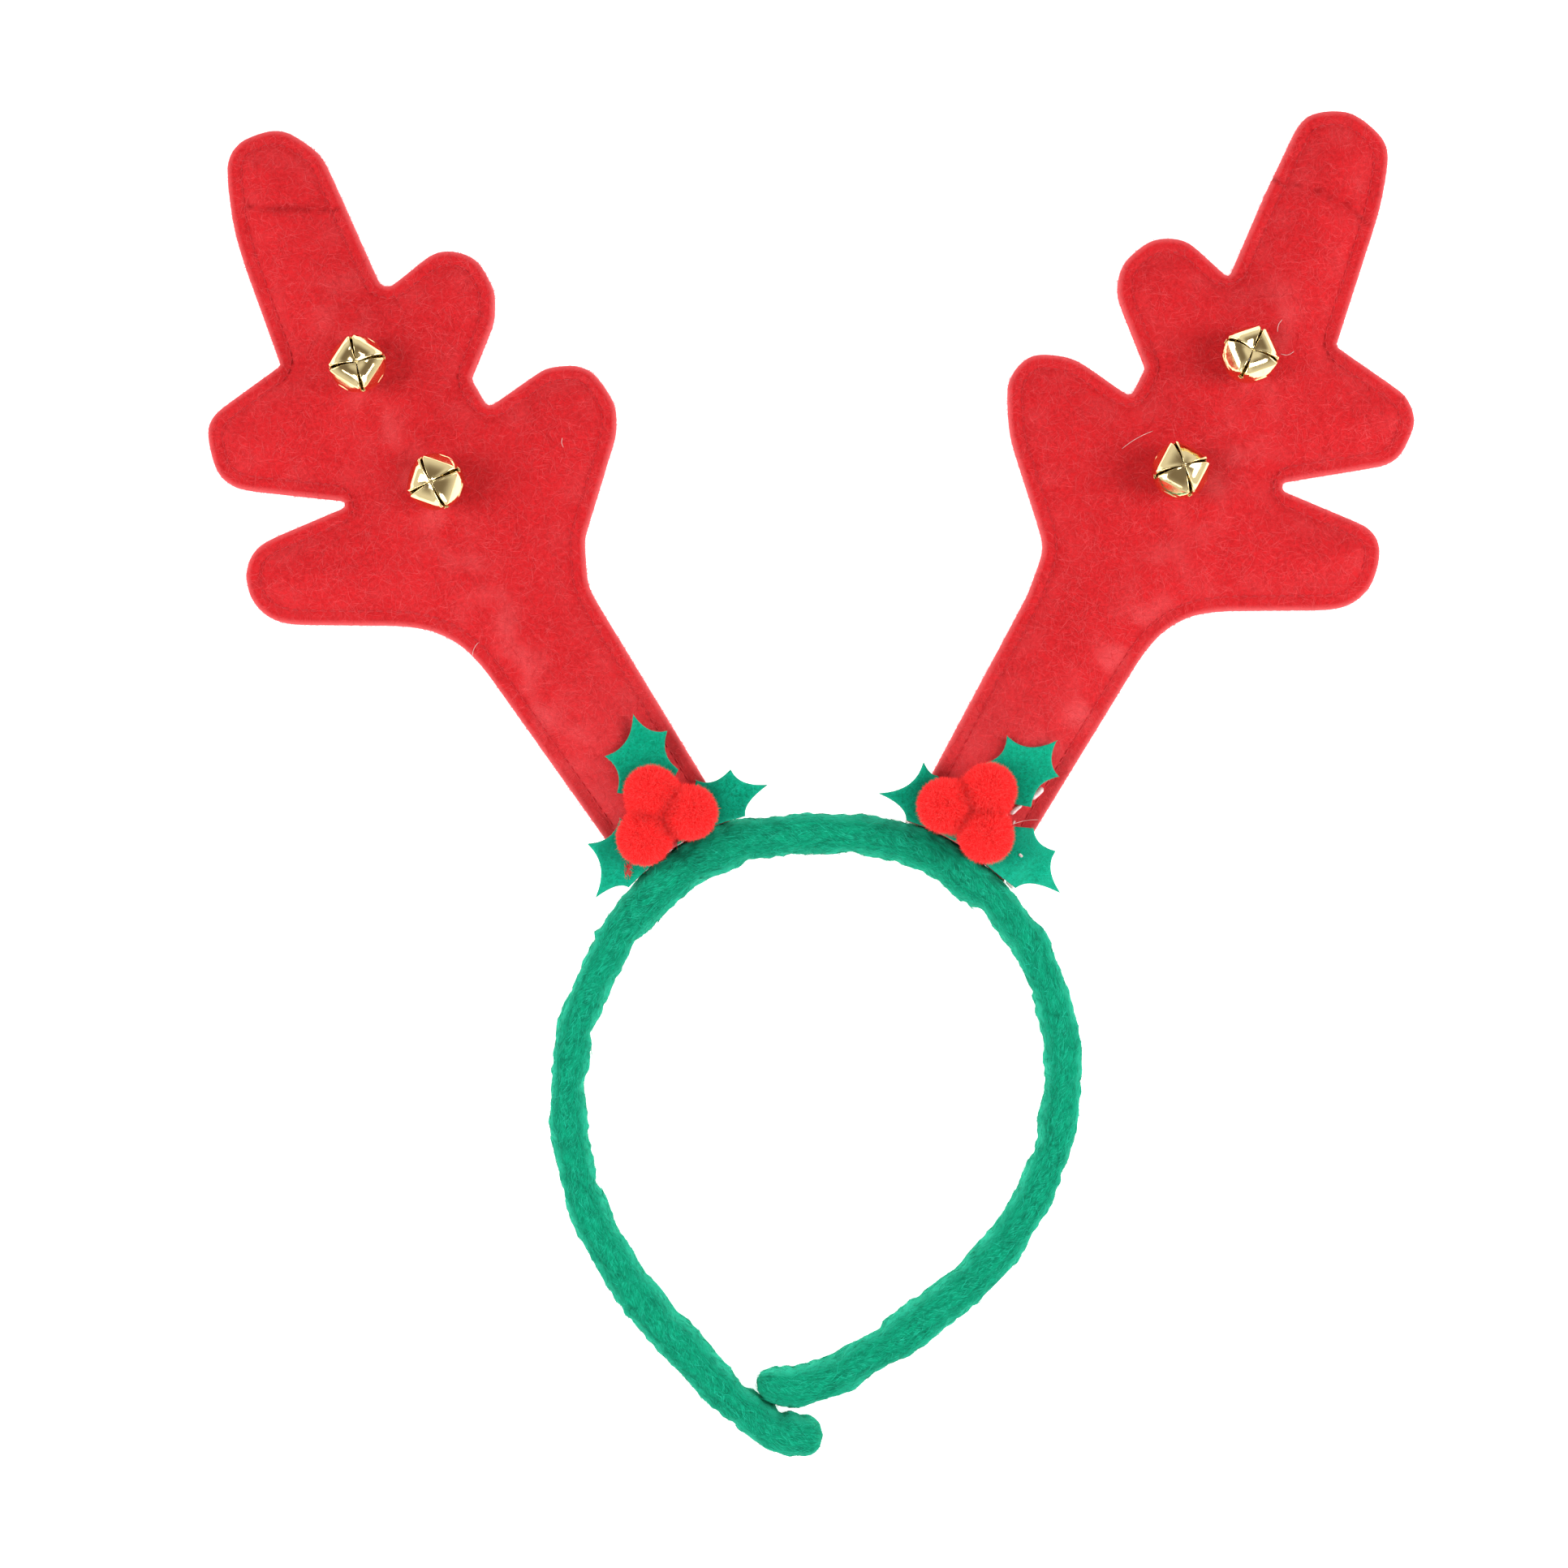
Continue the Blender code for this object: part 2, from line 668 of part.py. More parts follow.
def bell_shank(name, piece):
    """The wire ring at the back of a bell, joined to its dome."""
    mesh = bmesh.new()
    around, sides = 8, 6
    for index in range(around):
        angle = 2 * math.pi * index / around
        for side in range(sides):
            turn = 2 * math.pi * side / sides
            reach = SHANK_RADIUS + SHANK_WIRE * math.cos(turn)
            mesh.verts.new((reach * math.cos(angle), SHANK_WIRE * math.sin(turn), reach * math.sin(angle)))
    mesh.verts.ensure_lookup_table()
    for index in range(around):
        for side in range(sides):
            corners = [(index, side), (index + 1, side), (index + 1, side + 1), (index, side + 1)]
            mesh.faces.new([mesh.verts[(one % around) * sides + other % sides] for one, other in corners])
    bmesh.ops.recalc_face_normals(mesh, faces=mesh.faces)
    shank = add_object(f"shank_{name}", mesh, "brass")
    shank.hide_render = True
    shank.display_type = "WIRE"
    shank.parent = piece
    shank.location = (0, 0, SHANK_CENTRE)
    return shank


def bell_pea(name, piece):
    """The loose ball in a bell, lying at the back of its dome."""
    mesh = bmesh.new()
    bmesh.ops.create_icosphere(mesh, subdivisions=2, radius=PEA_RADIUS)
    pea = add_object(f"bell_pea_{name}", mesh, "steel")
    shade_round(pea, 60)
    pea.parent = piece
    pea.location = (0, 0, BELL_BACK * MM + SHANK_RADIUS + SHANK_WIRE + GAP + PEA_RADIUS)


def centre_on_origin():
    """Move the whole headband so that its box stands centred on the origin."""
    widest = [piece for piece in bpy.context.scene.objects if piece.name.startswith(("headband", "antler"))]
    spots = [vertex.co for piece in widest for vertex in piece.data.vertices]
    middle = Vector((0, 0, 0))
    for axis in (0, 1):
        values = [spot[axis] for spot in spots]
        middle[axis] = (min(values) + max(values)) / 2
    for piece in bpy.context.scene.objects:
        if piece.parent is None:
            piece.location -= middle


def main():
    for old in list(bpy.data.objects):
        bpy.data.objects.remove(old)
    line = BandLine(BAND_ROWS)
    headband(line)
    outlines = (("left", LEFT_CORNERS, LEFT_CREASE), ("right", RIGHT_CORNERS, RIGHT_CREASE))
    for side, corners, crease in outlines:
        rows = [row for row in BELL_ROWS if row[0].startswith(side)]
        antler = Antler(corners, crease, [metres(row[1:3]) for row in rows], line)
        antler_sheets(side, antler)
        for name, x, y, turn, tilt, heading, tip_height in rows:
            spot = metres((x, y))
            foot = antler.front_under(spot) + FELT + GAP
            bell(name, (*spot, foot + BELL_FOOT), turn, tilt, heading, tip_height)
        holly(side, antler)
    centre_on_origin()


main()
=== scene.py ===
"""The look of the antler headband: felt, stitches, wool, pompoms and brass bells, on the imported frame.

It lies on a pale floor, seen from straight above. Lengths are metres; the tables hold millimetres.
"""

import math

import bmesh
import bpy
import numpy as np
from mathutils import Matrix, Vector
from mathutils.geometry import delaunay_2d_cdt


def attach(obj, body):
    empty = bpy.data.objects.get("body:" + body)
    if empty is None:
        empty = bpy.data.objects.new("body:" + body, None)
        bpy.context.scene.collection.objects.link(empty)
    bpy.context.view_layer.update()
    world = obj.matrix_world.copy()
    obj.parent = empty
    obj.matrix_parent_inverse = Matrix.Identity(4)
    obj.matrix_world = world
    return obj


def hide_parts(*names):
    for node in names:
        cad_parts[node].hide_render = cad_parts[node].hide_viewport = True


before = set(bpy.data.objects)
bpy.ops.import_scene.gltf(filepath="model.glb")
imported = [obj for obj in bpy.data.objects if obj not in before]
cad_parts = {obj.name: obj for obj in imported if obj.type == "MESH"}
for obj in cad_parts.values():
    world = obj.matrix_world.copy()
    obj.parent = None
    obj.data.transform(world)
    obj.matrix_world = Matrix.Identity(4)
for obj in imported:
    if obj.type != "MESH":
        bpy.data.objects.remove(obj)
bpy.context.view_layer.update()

MM = 0.001
CM = 0.01
SHIFT = (-0.200, -0.163)        # from the drawing's own origin to the frame's, in millimetres

# Camera: its place, lens and sensor in millimetres
EYE = (-6.4, -0.6, 774.0)
LENS = 75.5
SENSOR = 36.0

# Floor, in metres
FLOOR_HALF = 2.0
FLOOR_DROP = 0.05 * MM

# Soft boxes: name, place, what they are aimed at, size, all in metres, and watts
LIGHT_ROWS = (
    ("box_left", (-0.62, 0.02, 0.55), (-0.05, 0.02, 0.0), (0.35, 0.55), 4.3),
    ("box_right", (0.62, 0.02, 0.55), (0.05, 0.02, 0.0), (0.35, 0.55), 4.8),
    ("box_low", (0.0, -0.85, 0.75), (0.0, 0.0, 0.0), (0.6, 0.3), 2.8),
)

# Felt, seam and filling, as in the frame
GAP = 0.3 * MM
FELT = 1.4 * MM
SEAM_INSET = 3.3 * MM
FRONT_SWELL = 3.2 * MM
BACK_SWELL = 2.0 * MM
SWELL_REACH = 12.0 * MM
REST_MIDDLE = 3.15 * MM
ROOT_MIDDLE = 6.2 * MM
ROOT_FALL = 70.0 * MM
CREASE_DEPTH = 0.8 * MM
CREASE_HALF = 2.2 * MM
DIMPLE_DEPTH = 1.2 * MM
DIMPLE_REACH = 6.0 * MM

# What the frame leaves out of the felt
SEAM_SINK = 0.16 * MM           # depth of the groove that the stitches pull
SEAM_HALF = 0.40 * MM
EDGE_ROUND = 0.5 * MM
RIDGE_RISE = 0.8 * MM           # the filling's ridge along the middle of an antler
RIDGE_HALF = 7.0 * MM
STITCH_PITCH = 2.2 * MM
STITCH_SHARE = 0.78             # length of a stitch over the pitch
THREAD = 0.17 * MM              # radius of the sewing thread
SHEET_STEP = 1.0 * MM           # spacing of points along a cut edge
SHEET_GRID = 1.7 * MM
SHEET_ROWS = (0.18, 0.5, 1.3, 2.2, 2.8, 3.3, 3.8, 4.5, 5.6)
LEAF_FELT = 1.2 * MM
LEAF_STEP = 0.6 * MM
LEAF_GRID = 1.0 * MM
LEAF_ROWS = (0.15, 0.45, 1.1)
LEAF_WAVE = 0.35 * MM
FRONT_FIBRES = 26000            # fibres thrown over the box round an antler
EDGE_FIBRES = 9000              # fibres along its cut edge
LEAF_FIBRES = 420               # fibres along a leaf's edge

# Band, as in the frame
BAND_HEIGHT = 11.0 * MM
GATHER_PITCH = 12.4 * MM
GATHER_DEPTH = 0.7 * MM
TIP_LENGTH = 3.5 * MM

# What the frame leaves out of the band
BAND_STEP = 0.7 * MM
BAND_AROUND = 56
BAND_SQUARE = 3.0               # power of the section's rounded square
FLAP_STEP = 0.28 * MM           # height of the lapped edge of its felt
PLEAT_DEPTH = 0.45 * MM
BAND_GIRTH = 34.0 * MM          # what the felt's pattern takes up round the band
BAND_MIDDLE = (0.0, -73.0)      # middle of the loop
FLAP_EASE = 14.0                # stretch over which a lapped edge begins and ends
SLOT_FIBRES = 60000             # wool thrown over the band for the slot beside the holly
SLOT_REACH = 21.0 * MM          # how far from an antler's root it is kept

# Holly
BERRY_RADIUS = 6.7 * MM
PILE = 0.95 * MM                # length of a pompom's fibres
PILE_FIBRES = 14000
SEAM_REACH = 1.6 * MM           # reach of the seams between pressed pompoms
LEAF_TOP = LEAF_FELT + GAP

# Bells, as in the frame
BELL_SHELL = 0.5 * MM
BELL_BACK = -6.5
SHANK_RADIUS = 1.3 * MM
SHANK_WIRE = 0.4 * MM
SHANK_CENTRE = -6.3 * MM
SHANK_SIDES = 24
BELL_FOOT = SHANK_RADIUS + SHANK_WIRE - SHANK_CENTRE

# What the frame leaves out of the bells
BELL_CLOSING = 14               # rings from a bell's shoulder to the tips of its petals
BELL_CROWN = 5.3                # height of the petals' tips where they aren't folded in
BELL_FOLD = 2.1                 # reach of the fold where they are
PETAL_SIDES = 14
SLOT_NARROW = 0.16              # half width of a slot at the tips
SLOT_WIDE = 0.80                # half width of a slot at a corner
LIP_RISE = 0.18                 # how far a slot's lips stand out
LIP_HALF = 0.45                 # reach of a lip from its slot
LIP_DEPTH = 0.6                 # how far its edge is turned in
LIP_GAP = 0.35                  # share of a slot that stays open between them
BELL_SOFT = 1.2                 # how softly a bell's flat sides turn into its corners

# Centre line of the band: x, y, width
BAND_ROWS = (
    (2.9, -152.6, 7.4),
    (-3.8, -152.4, 9.2),
    (-9.6, -150.6, 8.9),
    (-16.3, -145.4, 8.6),
    (-22.8, -139.3, 9.2),
    (-38.6, -122.0, 9.7),
    (-50.2, -103.5, 8.9),
    (-56.1, -83.5, 8.5),
    (-55.8, -63.0, 8.3),
    (-49.3, -43.9, 8.5),
    (-37.5, -26.9, 9.8),
    (-20.3, -15.3, 10.5),
    (1.2, -12.1, 9.0),
    (21.4, -14.1, 9.5),
    (35.1, -21.3, 9.7),
    (48.3, -34.0, 8.0),
    (57.0, -52.8, 8.5),
    (58.6, -73.0, 8.5),
    (55.0, -89.5, 8.4),
    (47.2, -105.0, 8.8),
    (35.2, -118.4, 9.7),
    (20.0, -130.0, 9.5),
    (9.8, -136.2, 8.7),
    (-0.5, -140.7, 9.2),
    (-6.8, -140.8, 8.4),
    (-12.6, -139.6, 6.0),
)

# Stretches of the band with a lapped edge on top: start and end along it, side of the lap from -1 to 1
FLAP_ROWS = (
    (20.0, 150.0, 0.52),
    (325.0, 392.0, 0.35),
)

# Wool on the band: name, count, share combed along it, share standing off, longest fibre, its width
WOOL_ROWS = (
    ("band_wool", 40000, 0.0, 0.9, 1.8, 0.07),
    ("band_haze", 17000, 0.3, 0.7, 2.6, 0.05),
    ("band_streaks", 30000, 1.0, 0.10, 3.2, 0.10),
)

# Tufts on the band: x, y, height, reach along it, side from -1, inside, to 1, outside
TUFT_ROWS = (
    (-50.0, -35.4, 0.9, 0.8, 1.0),
    (54.6, -36.0, 0.7, 2.5, 1.0),
    (59.0, -42.5, 0.5, 1.5, 1.0),
    (-4.5, -147.3, 0.9, 2.5, -1.0),
    (-5.5, -145.6, 0.5, 4.0, 1.0),
)

# Antlers: root and fold across the top tine as x, y of the drawing, ridge of the filling as x, y of the frame
ANTLER_ROWS = {
    "left": (
        (-27.6, -18.85),
        ((-131.5, 134.5), (-121.0, 133.5), (-110.5, 134.0)),
        ((-112.0, 112.0), (-103.5, 88.0), (-87.3, 61.4), (-75.9, 44.3), (-64.5, 23.4), (-56.0, 8.0)),
    ),
    "right": (
        (31.5, -19.5),
        ((108.0, 141.0), (118.5, 138.0), (125.0, 135.0), (130.5, 130.5)),
        ((110.0, 112.0), (102.7, 84.2), (89.4, 61.4), (78.0, 42.4), (66.6, 23.4), (57.1, 8.2)),
    ),
}

# Berries: name, x, y, height of the centre over the leaf
BERRY_ROWS = (
    ("left_1", -36.7, -2.5, 6.3),
    ("left_2", -27.8, -7.0, 6.1),
    ("left_3", -38.3, -12.8, 5.9),
    ("right_1", 40.9, -1.9, 6.1),
    ("right_2", 30.7, -5.4, 6.0),
    ("right_3", 40.2, -12.3, 6.4),
)

# Leaves that catch more light, and how much painted light each gets
LEAF_LIGHT = {"holly_leaf_right_3": 0.40, "holly_leaf_left_3": 0.18, "holly_leaf_right_1": 0.08}

# Bells: name, x, y, turn of the slots, tilt, heading of the tilt, height of the petals' tips
BELL_ROWS = (
    ("left_upper", -104.5, 96.3, 13.0, 4.0, 90.0, 3.7),
    ("left_lower", -86.4, 69.3, 26.0, 11.0, 210.0, 5.3),
    ("right_upper", 101.2, 98.5, 66.0, 14.0, 65.0, 3.7),
    ("right_lower", 85.1, 71.7, 17.0, 12.0, 65.0, 5.3),
)

# Profile of a bell: height, reach at a side, reach at a corner
BELL_RINGS = (
    (-6.5, 0.0, 0.0),
    (-5.6, 3.1, 3.1),
    (-2.7, 5.85, 5.85),
    (0.4, 6.5, 6.5),
    (1.3, 6.2, 6.5),
    (2.4, 5.62, 6.45),
    (3.5, 5.0, 6.35),
)
SLOT_START = 0.58               # share of the profile at which the slots begin

# Glue that squeezed out on the right, in the frame: x, y, x and y of its far end, radius, what it lies on
GLUE_ROWS = (
    (53.8, -1.6, 51.3, -4.2, 0.75, "felt"),
    (48.9, -5.3, 46.2, -7.5, 0.60, "felt"),
    (45.6, -7.7, 44.6, -8.3, 0.45, "felt"),
    (46.0, -9.0, 45.4, -8.8, 0.28, "felt"),
    (47.4, -9.2, 47.1, -9.8, 0.24, "felt"),
    (45.4, -23.2, 46.9, -25.0, 0.42, "felt"),
    (48.2, -16.8, 48.6, -17.8, 0.32, "leaf"),
)

# Wisps of red wool on the leaves, in the frame: x, y, x and y of the far end, width, count of fibres
WISP_ROWS = (
    (-42.6, -18.8, -42.2, -22.9, 1.5, 60),
)

# Loose white hairs, in the frame: x, y, length, heading, bow
HAIR_ROWS = (
    (-57.9, 79.0, 2.2, 95.0, 0.3),
    (-78.5, 31.0, 3.6, 65.0, 0.4),
    (76.0, 79.6, 8.5, 30.0, 0.4),
    (110.8, 99.9, 3.2, 12.0, -0.6),
    (109.0, 106.0, 3.0, 70.0, 0.4),
    (49.6, -9.6, 6.8, 11.0, 0.4),
)

# Directions of the felt's fibres: turn in degrees, and where the pattern starts
FIBRE_ROWS = ((8.0, 0.0), (49.0, 31.0), (97.0, 67.0), (141.0, 13.0))


def placed(row):
    """A drawing's x and y as a point of the frame."""
    return np.array([row[0] + SHIFT[0], row[1] + SHIFT[1]]) * MM


def placed_run(rows):
    """A drawing's line as points of the frame."""
    return np.array([placed(row) for row in rows])


# Numbers


def ripple(points, wavelength, seed):
    """A smooth random field at the points, mostly between -1 and 1, with the given wavelength."""
    random = np.random.default_rng(seed)
    total = np.zeros(len(points))
    waves = 18
    for _ in range(waves):
        direction = random.normal(size=points.shape[1])
        direction *= 2 * math.pi / (wavelength * random.uniform(0.65, 1.5)) / np.linalg.norm(direction)
        total += np.cos(points @ direction + random.uniform(0, 2 * math.pi))
    return total / math.sqrt(waves)


def sizes_of(ways):
    """Length of each direction in a list."""
    return np.linalg.norm(ways, axis=1)


def unit(ways):
    """Each direction in a list at a length of 1."""
    return ways / sizes_of(ways)[:, None]


def turned_left(ways):
    """Each direction in the plane, turned left by a right angle."""
    return np.stack([-ways[:, 1], ways[:, 0]], axis=1)


def fading(distance, reach):
    """1 where the distance is 0, fading softly over the reach."""
    return np.exp(-(distance / reach) ** 2)


def smoothstep(low, high, value):
    """0 below low, 1 above high, smooth between."""
    share = np.clip((value - low) / (high - low), 0.0, 1.0)
    return share * share * (3 - 2 * share)


def away(points, line):
    """Distance from each point to a line of points in the plane."""
    start, step = line[:-1], np.diff(line, axis=0)
    size = np.maximum((step ** 2).sum(1), 1e-18)
    found = np.empty(len(points))
    for first in range(0, len(points), 1500):
        part = points[first:first + 1500, None, :]
        share = np.clip(((part - start) * step).sum(2) / size, 0.0, 1.0)
        gap = part - (start + share[..., None] * step)
        found[first:first + 1500] = np.sqrt((gap ** 2).sum(2).min(1))
    return found


def is_inside(points, ring):
    """Whether each point lies inside a closed outline."""
    inside = np.zeros(len(points), bool)
    for (x0, y0), (x1, y1) in zip(ring, np.roll(ring, -1, axis=0)):
        crosses = (y0 > points[:, 1]) != (y1 > points[:, 1])
        if y1 != y0:
            inside ^= crosses & (points[:, 0] < x0 + (points[:, 1] - y0) * (x1 - x0) / (y1 - y0))
    return inside


def spaced(line, step):
    """The same line with points evenly spaced, about a step apart."""
    along = np.concatenate([[0.0], np.cumsum(sizes_of(np.diff(line, axis=0)))])
    places = np.linspace(0.0, along[-1], max(2, round(along[-1] / step) + 1))
    return np.stack([np.interp(places, along, column) for column in line.T], axis=1)


def smooth_rows(rows, per_span):
    """Rows read from the Catmull-Rom curve through the given rows."""
    points = [np.array(row, float) for row in rows]
    points = [points[0] * 2 - points[1], *points, points[-1] * 2 - points[-2]]
    curve = []
    for before, start, end, after in zip(points, points[1:], points[2:], points[3:]):
        for index in range(per_span):
            t = index / per_span
            curve.append(0.5 * (
                2 * start + (end - before) * t
                + (2 * before - 5 * start + 4 * end - after) * t ** 2
                + (3 * start - before - 3 * end + after) * t ** 3
            ))
    curve.append(points[-2])
    return np.array(curve)


# Meshes


def add_object(name, data):
    """A new object in the scene."""
    made = bpy.data.objects.new(name, data)
    bpy.context.scene.collection.objects.link(made)
    return made


def add_piece(name, vertices, faces, material, sharp=None):
    """A mesh from its points and faces as a piece of the object."""
    mesh = bpy.data.meshes.new(name)
    mesh.from_pydata([tuple(vertex) for vertex in vertices], [], [tuple(face) for face in faces])
    mesh.materials.append(material)
    mesh.shade_smooth()
    if sharp:
        mesh.set_sharp_from_angle(angle=math.radians(sharp))
    piece = add_object(name, mesh)
    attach(piece, "root")
    return piece


def paint_value(piece, name, values):
    """A number for each of the mesh's points, which its material reads by name."""
    made = piece.data.attributes.new(name, "FLOAT", "POINT")
    made.data.foreach_set("value", np.asarray(values, np.float32))


def lay_map(piece, places):
    """A flat map in centimetres that the felt's fibres follow."""
    layer = piece.data.uv_layers.new(name="felt")
    corners = np.empty(len(piece.data.loops), np.int32)
    piece.data.loops.foreach_get("vertex_index", corners)
    layer.uv.foreach_set("vector", np.asarray(places / CM, np.float32)[corners].ravel())


def outline_of(node):
    """The edge of a flat node seen from above, as anticlockwise points."""
    mesh = bmesh.new()
    mesh.from_mesh(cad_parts[node].data)
    bmesh.ops.remove_doubles(mesh, verts=mesh.verts, dist=0.01 * MM)
    upper = {face for face in mesh.faces if face.normal.z > 0.3}
    after = {}
    for face in upper:
        for loop in face.loops:
            if not any(other in upper for other in loop.edge.link_faces if other is not face):
                after[loop.vert.index] = loop.link_loop_next.vert.index
    places = {vertex.index: vertex.co.xy.copy() for vertex in mesh.verts}
    start = min(after)
    ring = [start]
    while after[ring[-1]] != start:
        ring.append(after[ring[-1]])
    mesh.free()
    return np.array([places[index] for index in ring])


def sharp_corners(ring, angle=45.0):
    """Whether the outline turns sharply at each of its points."""
    back = ring - np.roll(ring, 1, axis=0)
    ahead = np.roll(ring, -1, axis=0) - ring
    turn = np.arctan2(
        back[:, 0] * ahead[:, 1] - back[:, 1] * ahead[:, 0],
        (back * ahead).sum(1),
    )
    return np.abs(turn) > math.radians(angle)


def cut_corners(ring, keep, reach):
    """One round of cutting the outline's corners, apart from those it keeps."""
    made, kept = [], []
    count = len(ring)
    for index in range(count):
        corner = ring[index]
        if keep[index]:
            made.append(corner)
            kept.append(True)
            continue
        for other in (ring[index - 1], ring[(index + 1) % count]):
            step = other - corner
            length = np.linalg.norm(step)
            made.append(corner + step / length * min(0.25 * length, reach))
            kept.append(False)
    return np.array(made), kept


def fine_outline(node, step, reach=2.0 * MM):
    """A node's outline with its soft corners rounded, and the stretches between its sharp ones."""
    ring = outline_of(node)
    keep = list(sharp_corners(ring))
    for level in range(3):
        ring, keep = cut_corners(ring, keep, reach / 2 ** level)
    sharp = [index for index in range(len(ring)) if keep[index]]
    if not sharp:
        return [spaced(np.vstack([ring, ring[:1]]), step)[:-1]]
    ring = np.roll(ring, -sharp[0], axis=0)
    ends = [index - sharp[0] for index in sharp] + [len(ring)]
    closed = np.vstack([ring, ring[:1]])
    return [spaced(closed[first:last + 1], step)[:-1] for first, last in zip(ends, ends[1:])]


def inward_normals(ring):
    """Direction towards the inside at each point of an anticlockwise outline."""
    return turned_left(unit(np.roll(ring, -1, axis=0) - np.roll(ring, 1, axis=0)))


def inset_row(ring, inset, spacing):
    """Points at a distance inside an outline."""
    places = ring + inward_normals(ring) * inset
    closed = np.vstack([ring, ring[:1]])
    places = places[(away(places, closed) > 0.97 * inset) & is_inside(places, ring)]
    kept = [places[0]]
    for place in places[1:]:
        if np.linalg.norm(place - kept[-1]) > spacing:
            kept.append(place)
    return np.array(kept)


def felt_sheet(name, ring, rows, grid, heights, material):
    """A closed sheet over an outline, and its points in the plane.

    heights(points, inset) gives the lower and the upper face.
    """
    closed = np.vstack([ring, ring[:1]])
    inner = [inset_row(ring, inset * MM, 0.45 * grid) for inset in rows]
    low, high = ring.min(0), ring.max(0)
    xs = np.arange(low[0], high[0], grid)
    ys = np.arange(low[1], high[1], grid * 0.87)
    spots = np.array([(x + 0.5 * grid * (row % 2), y) for row, y in enumerate(ys) for x in xs])
    spots = spots[is_inside(spots, ring)]
    spots = spots[away(spots, closed) > rows[-1] * MM + 0.55 * grid]
    points = np.vstack([ring, *inner, spots])
    edges = [(index, (index + 1) % len(ring)) for index in range(len(ring))]
    flat, _, faces, *_ = delaunay_2d_cdt([Vector(point) for point in points], edges, [], 1, 1e-7)
    flat = np.array(flat)
    faces = np.array(faces)
    one, two, three = (flat[faces[:, index]] for index in range(3))
    first, second = two - one, three - one
    turn = first[:, 0] * second[:, 1] - first[:, 1] * second[:, 0]
    faces[turn < 0] = faces[turn < 0][:, ::-1]
    inset = away(flat, closed)
    under, over = heights(flat, inset)
    count = len(flat)
    both = np.vstack([flat, flat])
    vertices = np.column_stack([both, np.concatenate([under, over])])
    border = [(start, end, end + count, start + count) for start, end in edges]
    piece = add_piece(
        name, vertices, [*(faces + count), *faces[:, ::-1], *border], material, sharp=60,
    )
    lay_map(piece, both)
    # how near the cut edge each point lies, where the felt is painted lighter
    paint_value(piece, "edge", 1 - smoothstep(0.0, 1.1 * MM, np.concatenate([inset, inset])))
    return piece, both


def strands(name, roots, ways, lengths, widths, bend, material, seed):
    """Fine curved fibres, each a ribbon of three faces that tapers to its tip."""
    random = np.random.default_rng(seed)
    count = len(roots)
    side = np.cross(ways, random.normal(size=(count, 3)))
    side /= np.maximum(sizes_of(side), 1e-9)[:, None]
    half = side * widths[:, None] / 2
    bow = np.cross(ways, side) * (bend * lengths * random.normal(size=count))[:, None]
    reach = ways * lengths[:, None]
    middle = roots + 0.5 * reach + 0.3 * bow
    rings = [roots - half, roots + half, middle - 0.8 * half, middle + 0.8 * half, roots + reach + bow]
    vertices = np.stack(rings, axis=1).reshape(-1, 3)
    vertices[:, 2] = np.maximum(vertices[:, 2], 0.0)
    base = np.arange(count)[:, None] * 5
    quads = base + np.array([[0, 1, 3, 2]])
    tips = base + np.array([[2, 3, 4]])
    piece = add_piece(name, vertices, [*quads, *tips], material)
    paint_value(piece, "tone", np.repeat(random.random(count), 5))
    return piece


def lying_fibres(name, places, heights_at, headings, lengths, width, bow, material, seed):
    """Fibres that lie on a surface: ribbons that face up and follow its height."""
    random = np.random.default_rng(seed)
    count = len(places)
    onward = np.stack([np.cos(headings), np.sin(headings)], axis=1)
    across = turned_left(onward)
    bows = bow * lengths * random.normal(size=count)
    rows = []
    for share, wide in ((-0.5, 0.3), (-0.17, 1.0), (0.17, 1.0), (0.5, 0.3)):
        middle = places + onward * (share * lengths)[:, None] + across * (bows * (4 * share * share))[:, None]
        for sign in (-1, 1):
            spot = middle + across * sign * width * wide / 2
            rows.append(np.column_stack([spot, heights_at(spot) + 0.05 * MM * wide]))
    vertices = np.stack(rows, axis=1).reshape(-1, 3)
    base = np.arange(count)[:, None] * 8
    quads = np.vstack([base + np.array([[first, first + 1, first + 3, first + 2]]) for first in (0, 2, 4)])
    piece = add_piece(name, vertices, quads[:, ::-1], material)
    paint_value(piece, "tone", np.repeat(random.random(count), 8))
    return piece


def surface_spots(piece, count, seed):
    """Random places spread evenly over a mesh, with the surface's direction at each."""
    mesh = piece.data
    mesh.calc_loop_triangles()
    corners = np.empty(len(mesh.loop_triangles) * 3, np.int32)
    mesh.loop_triangles.foreach_get("vertices", corners)
    spots = np.empty(len(mesh.vertices) * 3, np.float32)
    mesh.vertices.foreach_get("co", spots)
    a, b, c = (spots.reshape(-1, 3)[corners.reshape(-1, 3)[:, index]] for index in range(3))
    normals = np.cross(b - a, c - a)
    areas = sizes_of(normals)
    random = np.random.default_rng(seed)
    chosen = random.choice(len(areas), count, p=areas / areas.sum())
    u, v = random.random((2, count, 1))
    u, v = np.where(u + v > 1, 1 - u, u), np.where(u + v > 1, 1 - v, v)
    places = a[chosen] + u * (b - a)[chosen] + v * (c - a)[chosen]
    return places.astype(float), (normals / np.maximum(areas, 1e-15)[:, None])[chosen].astype(float)


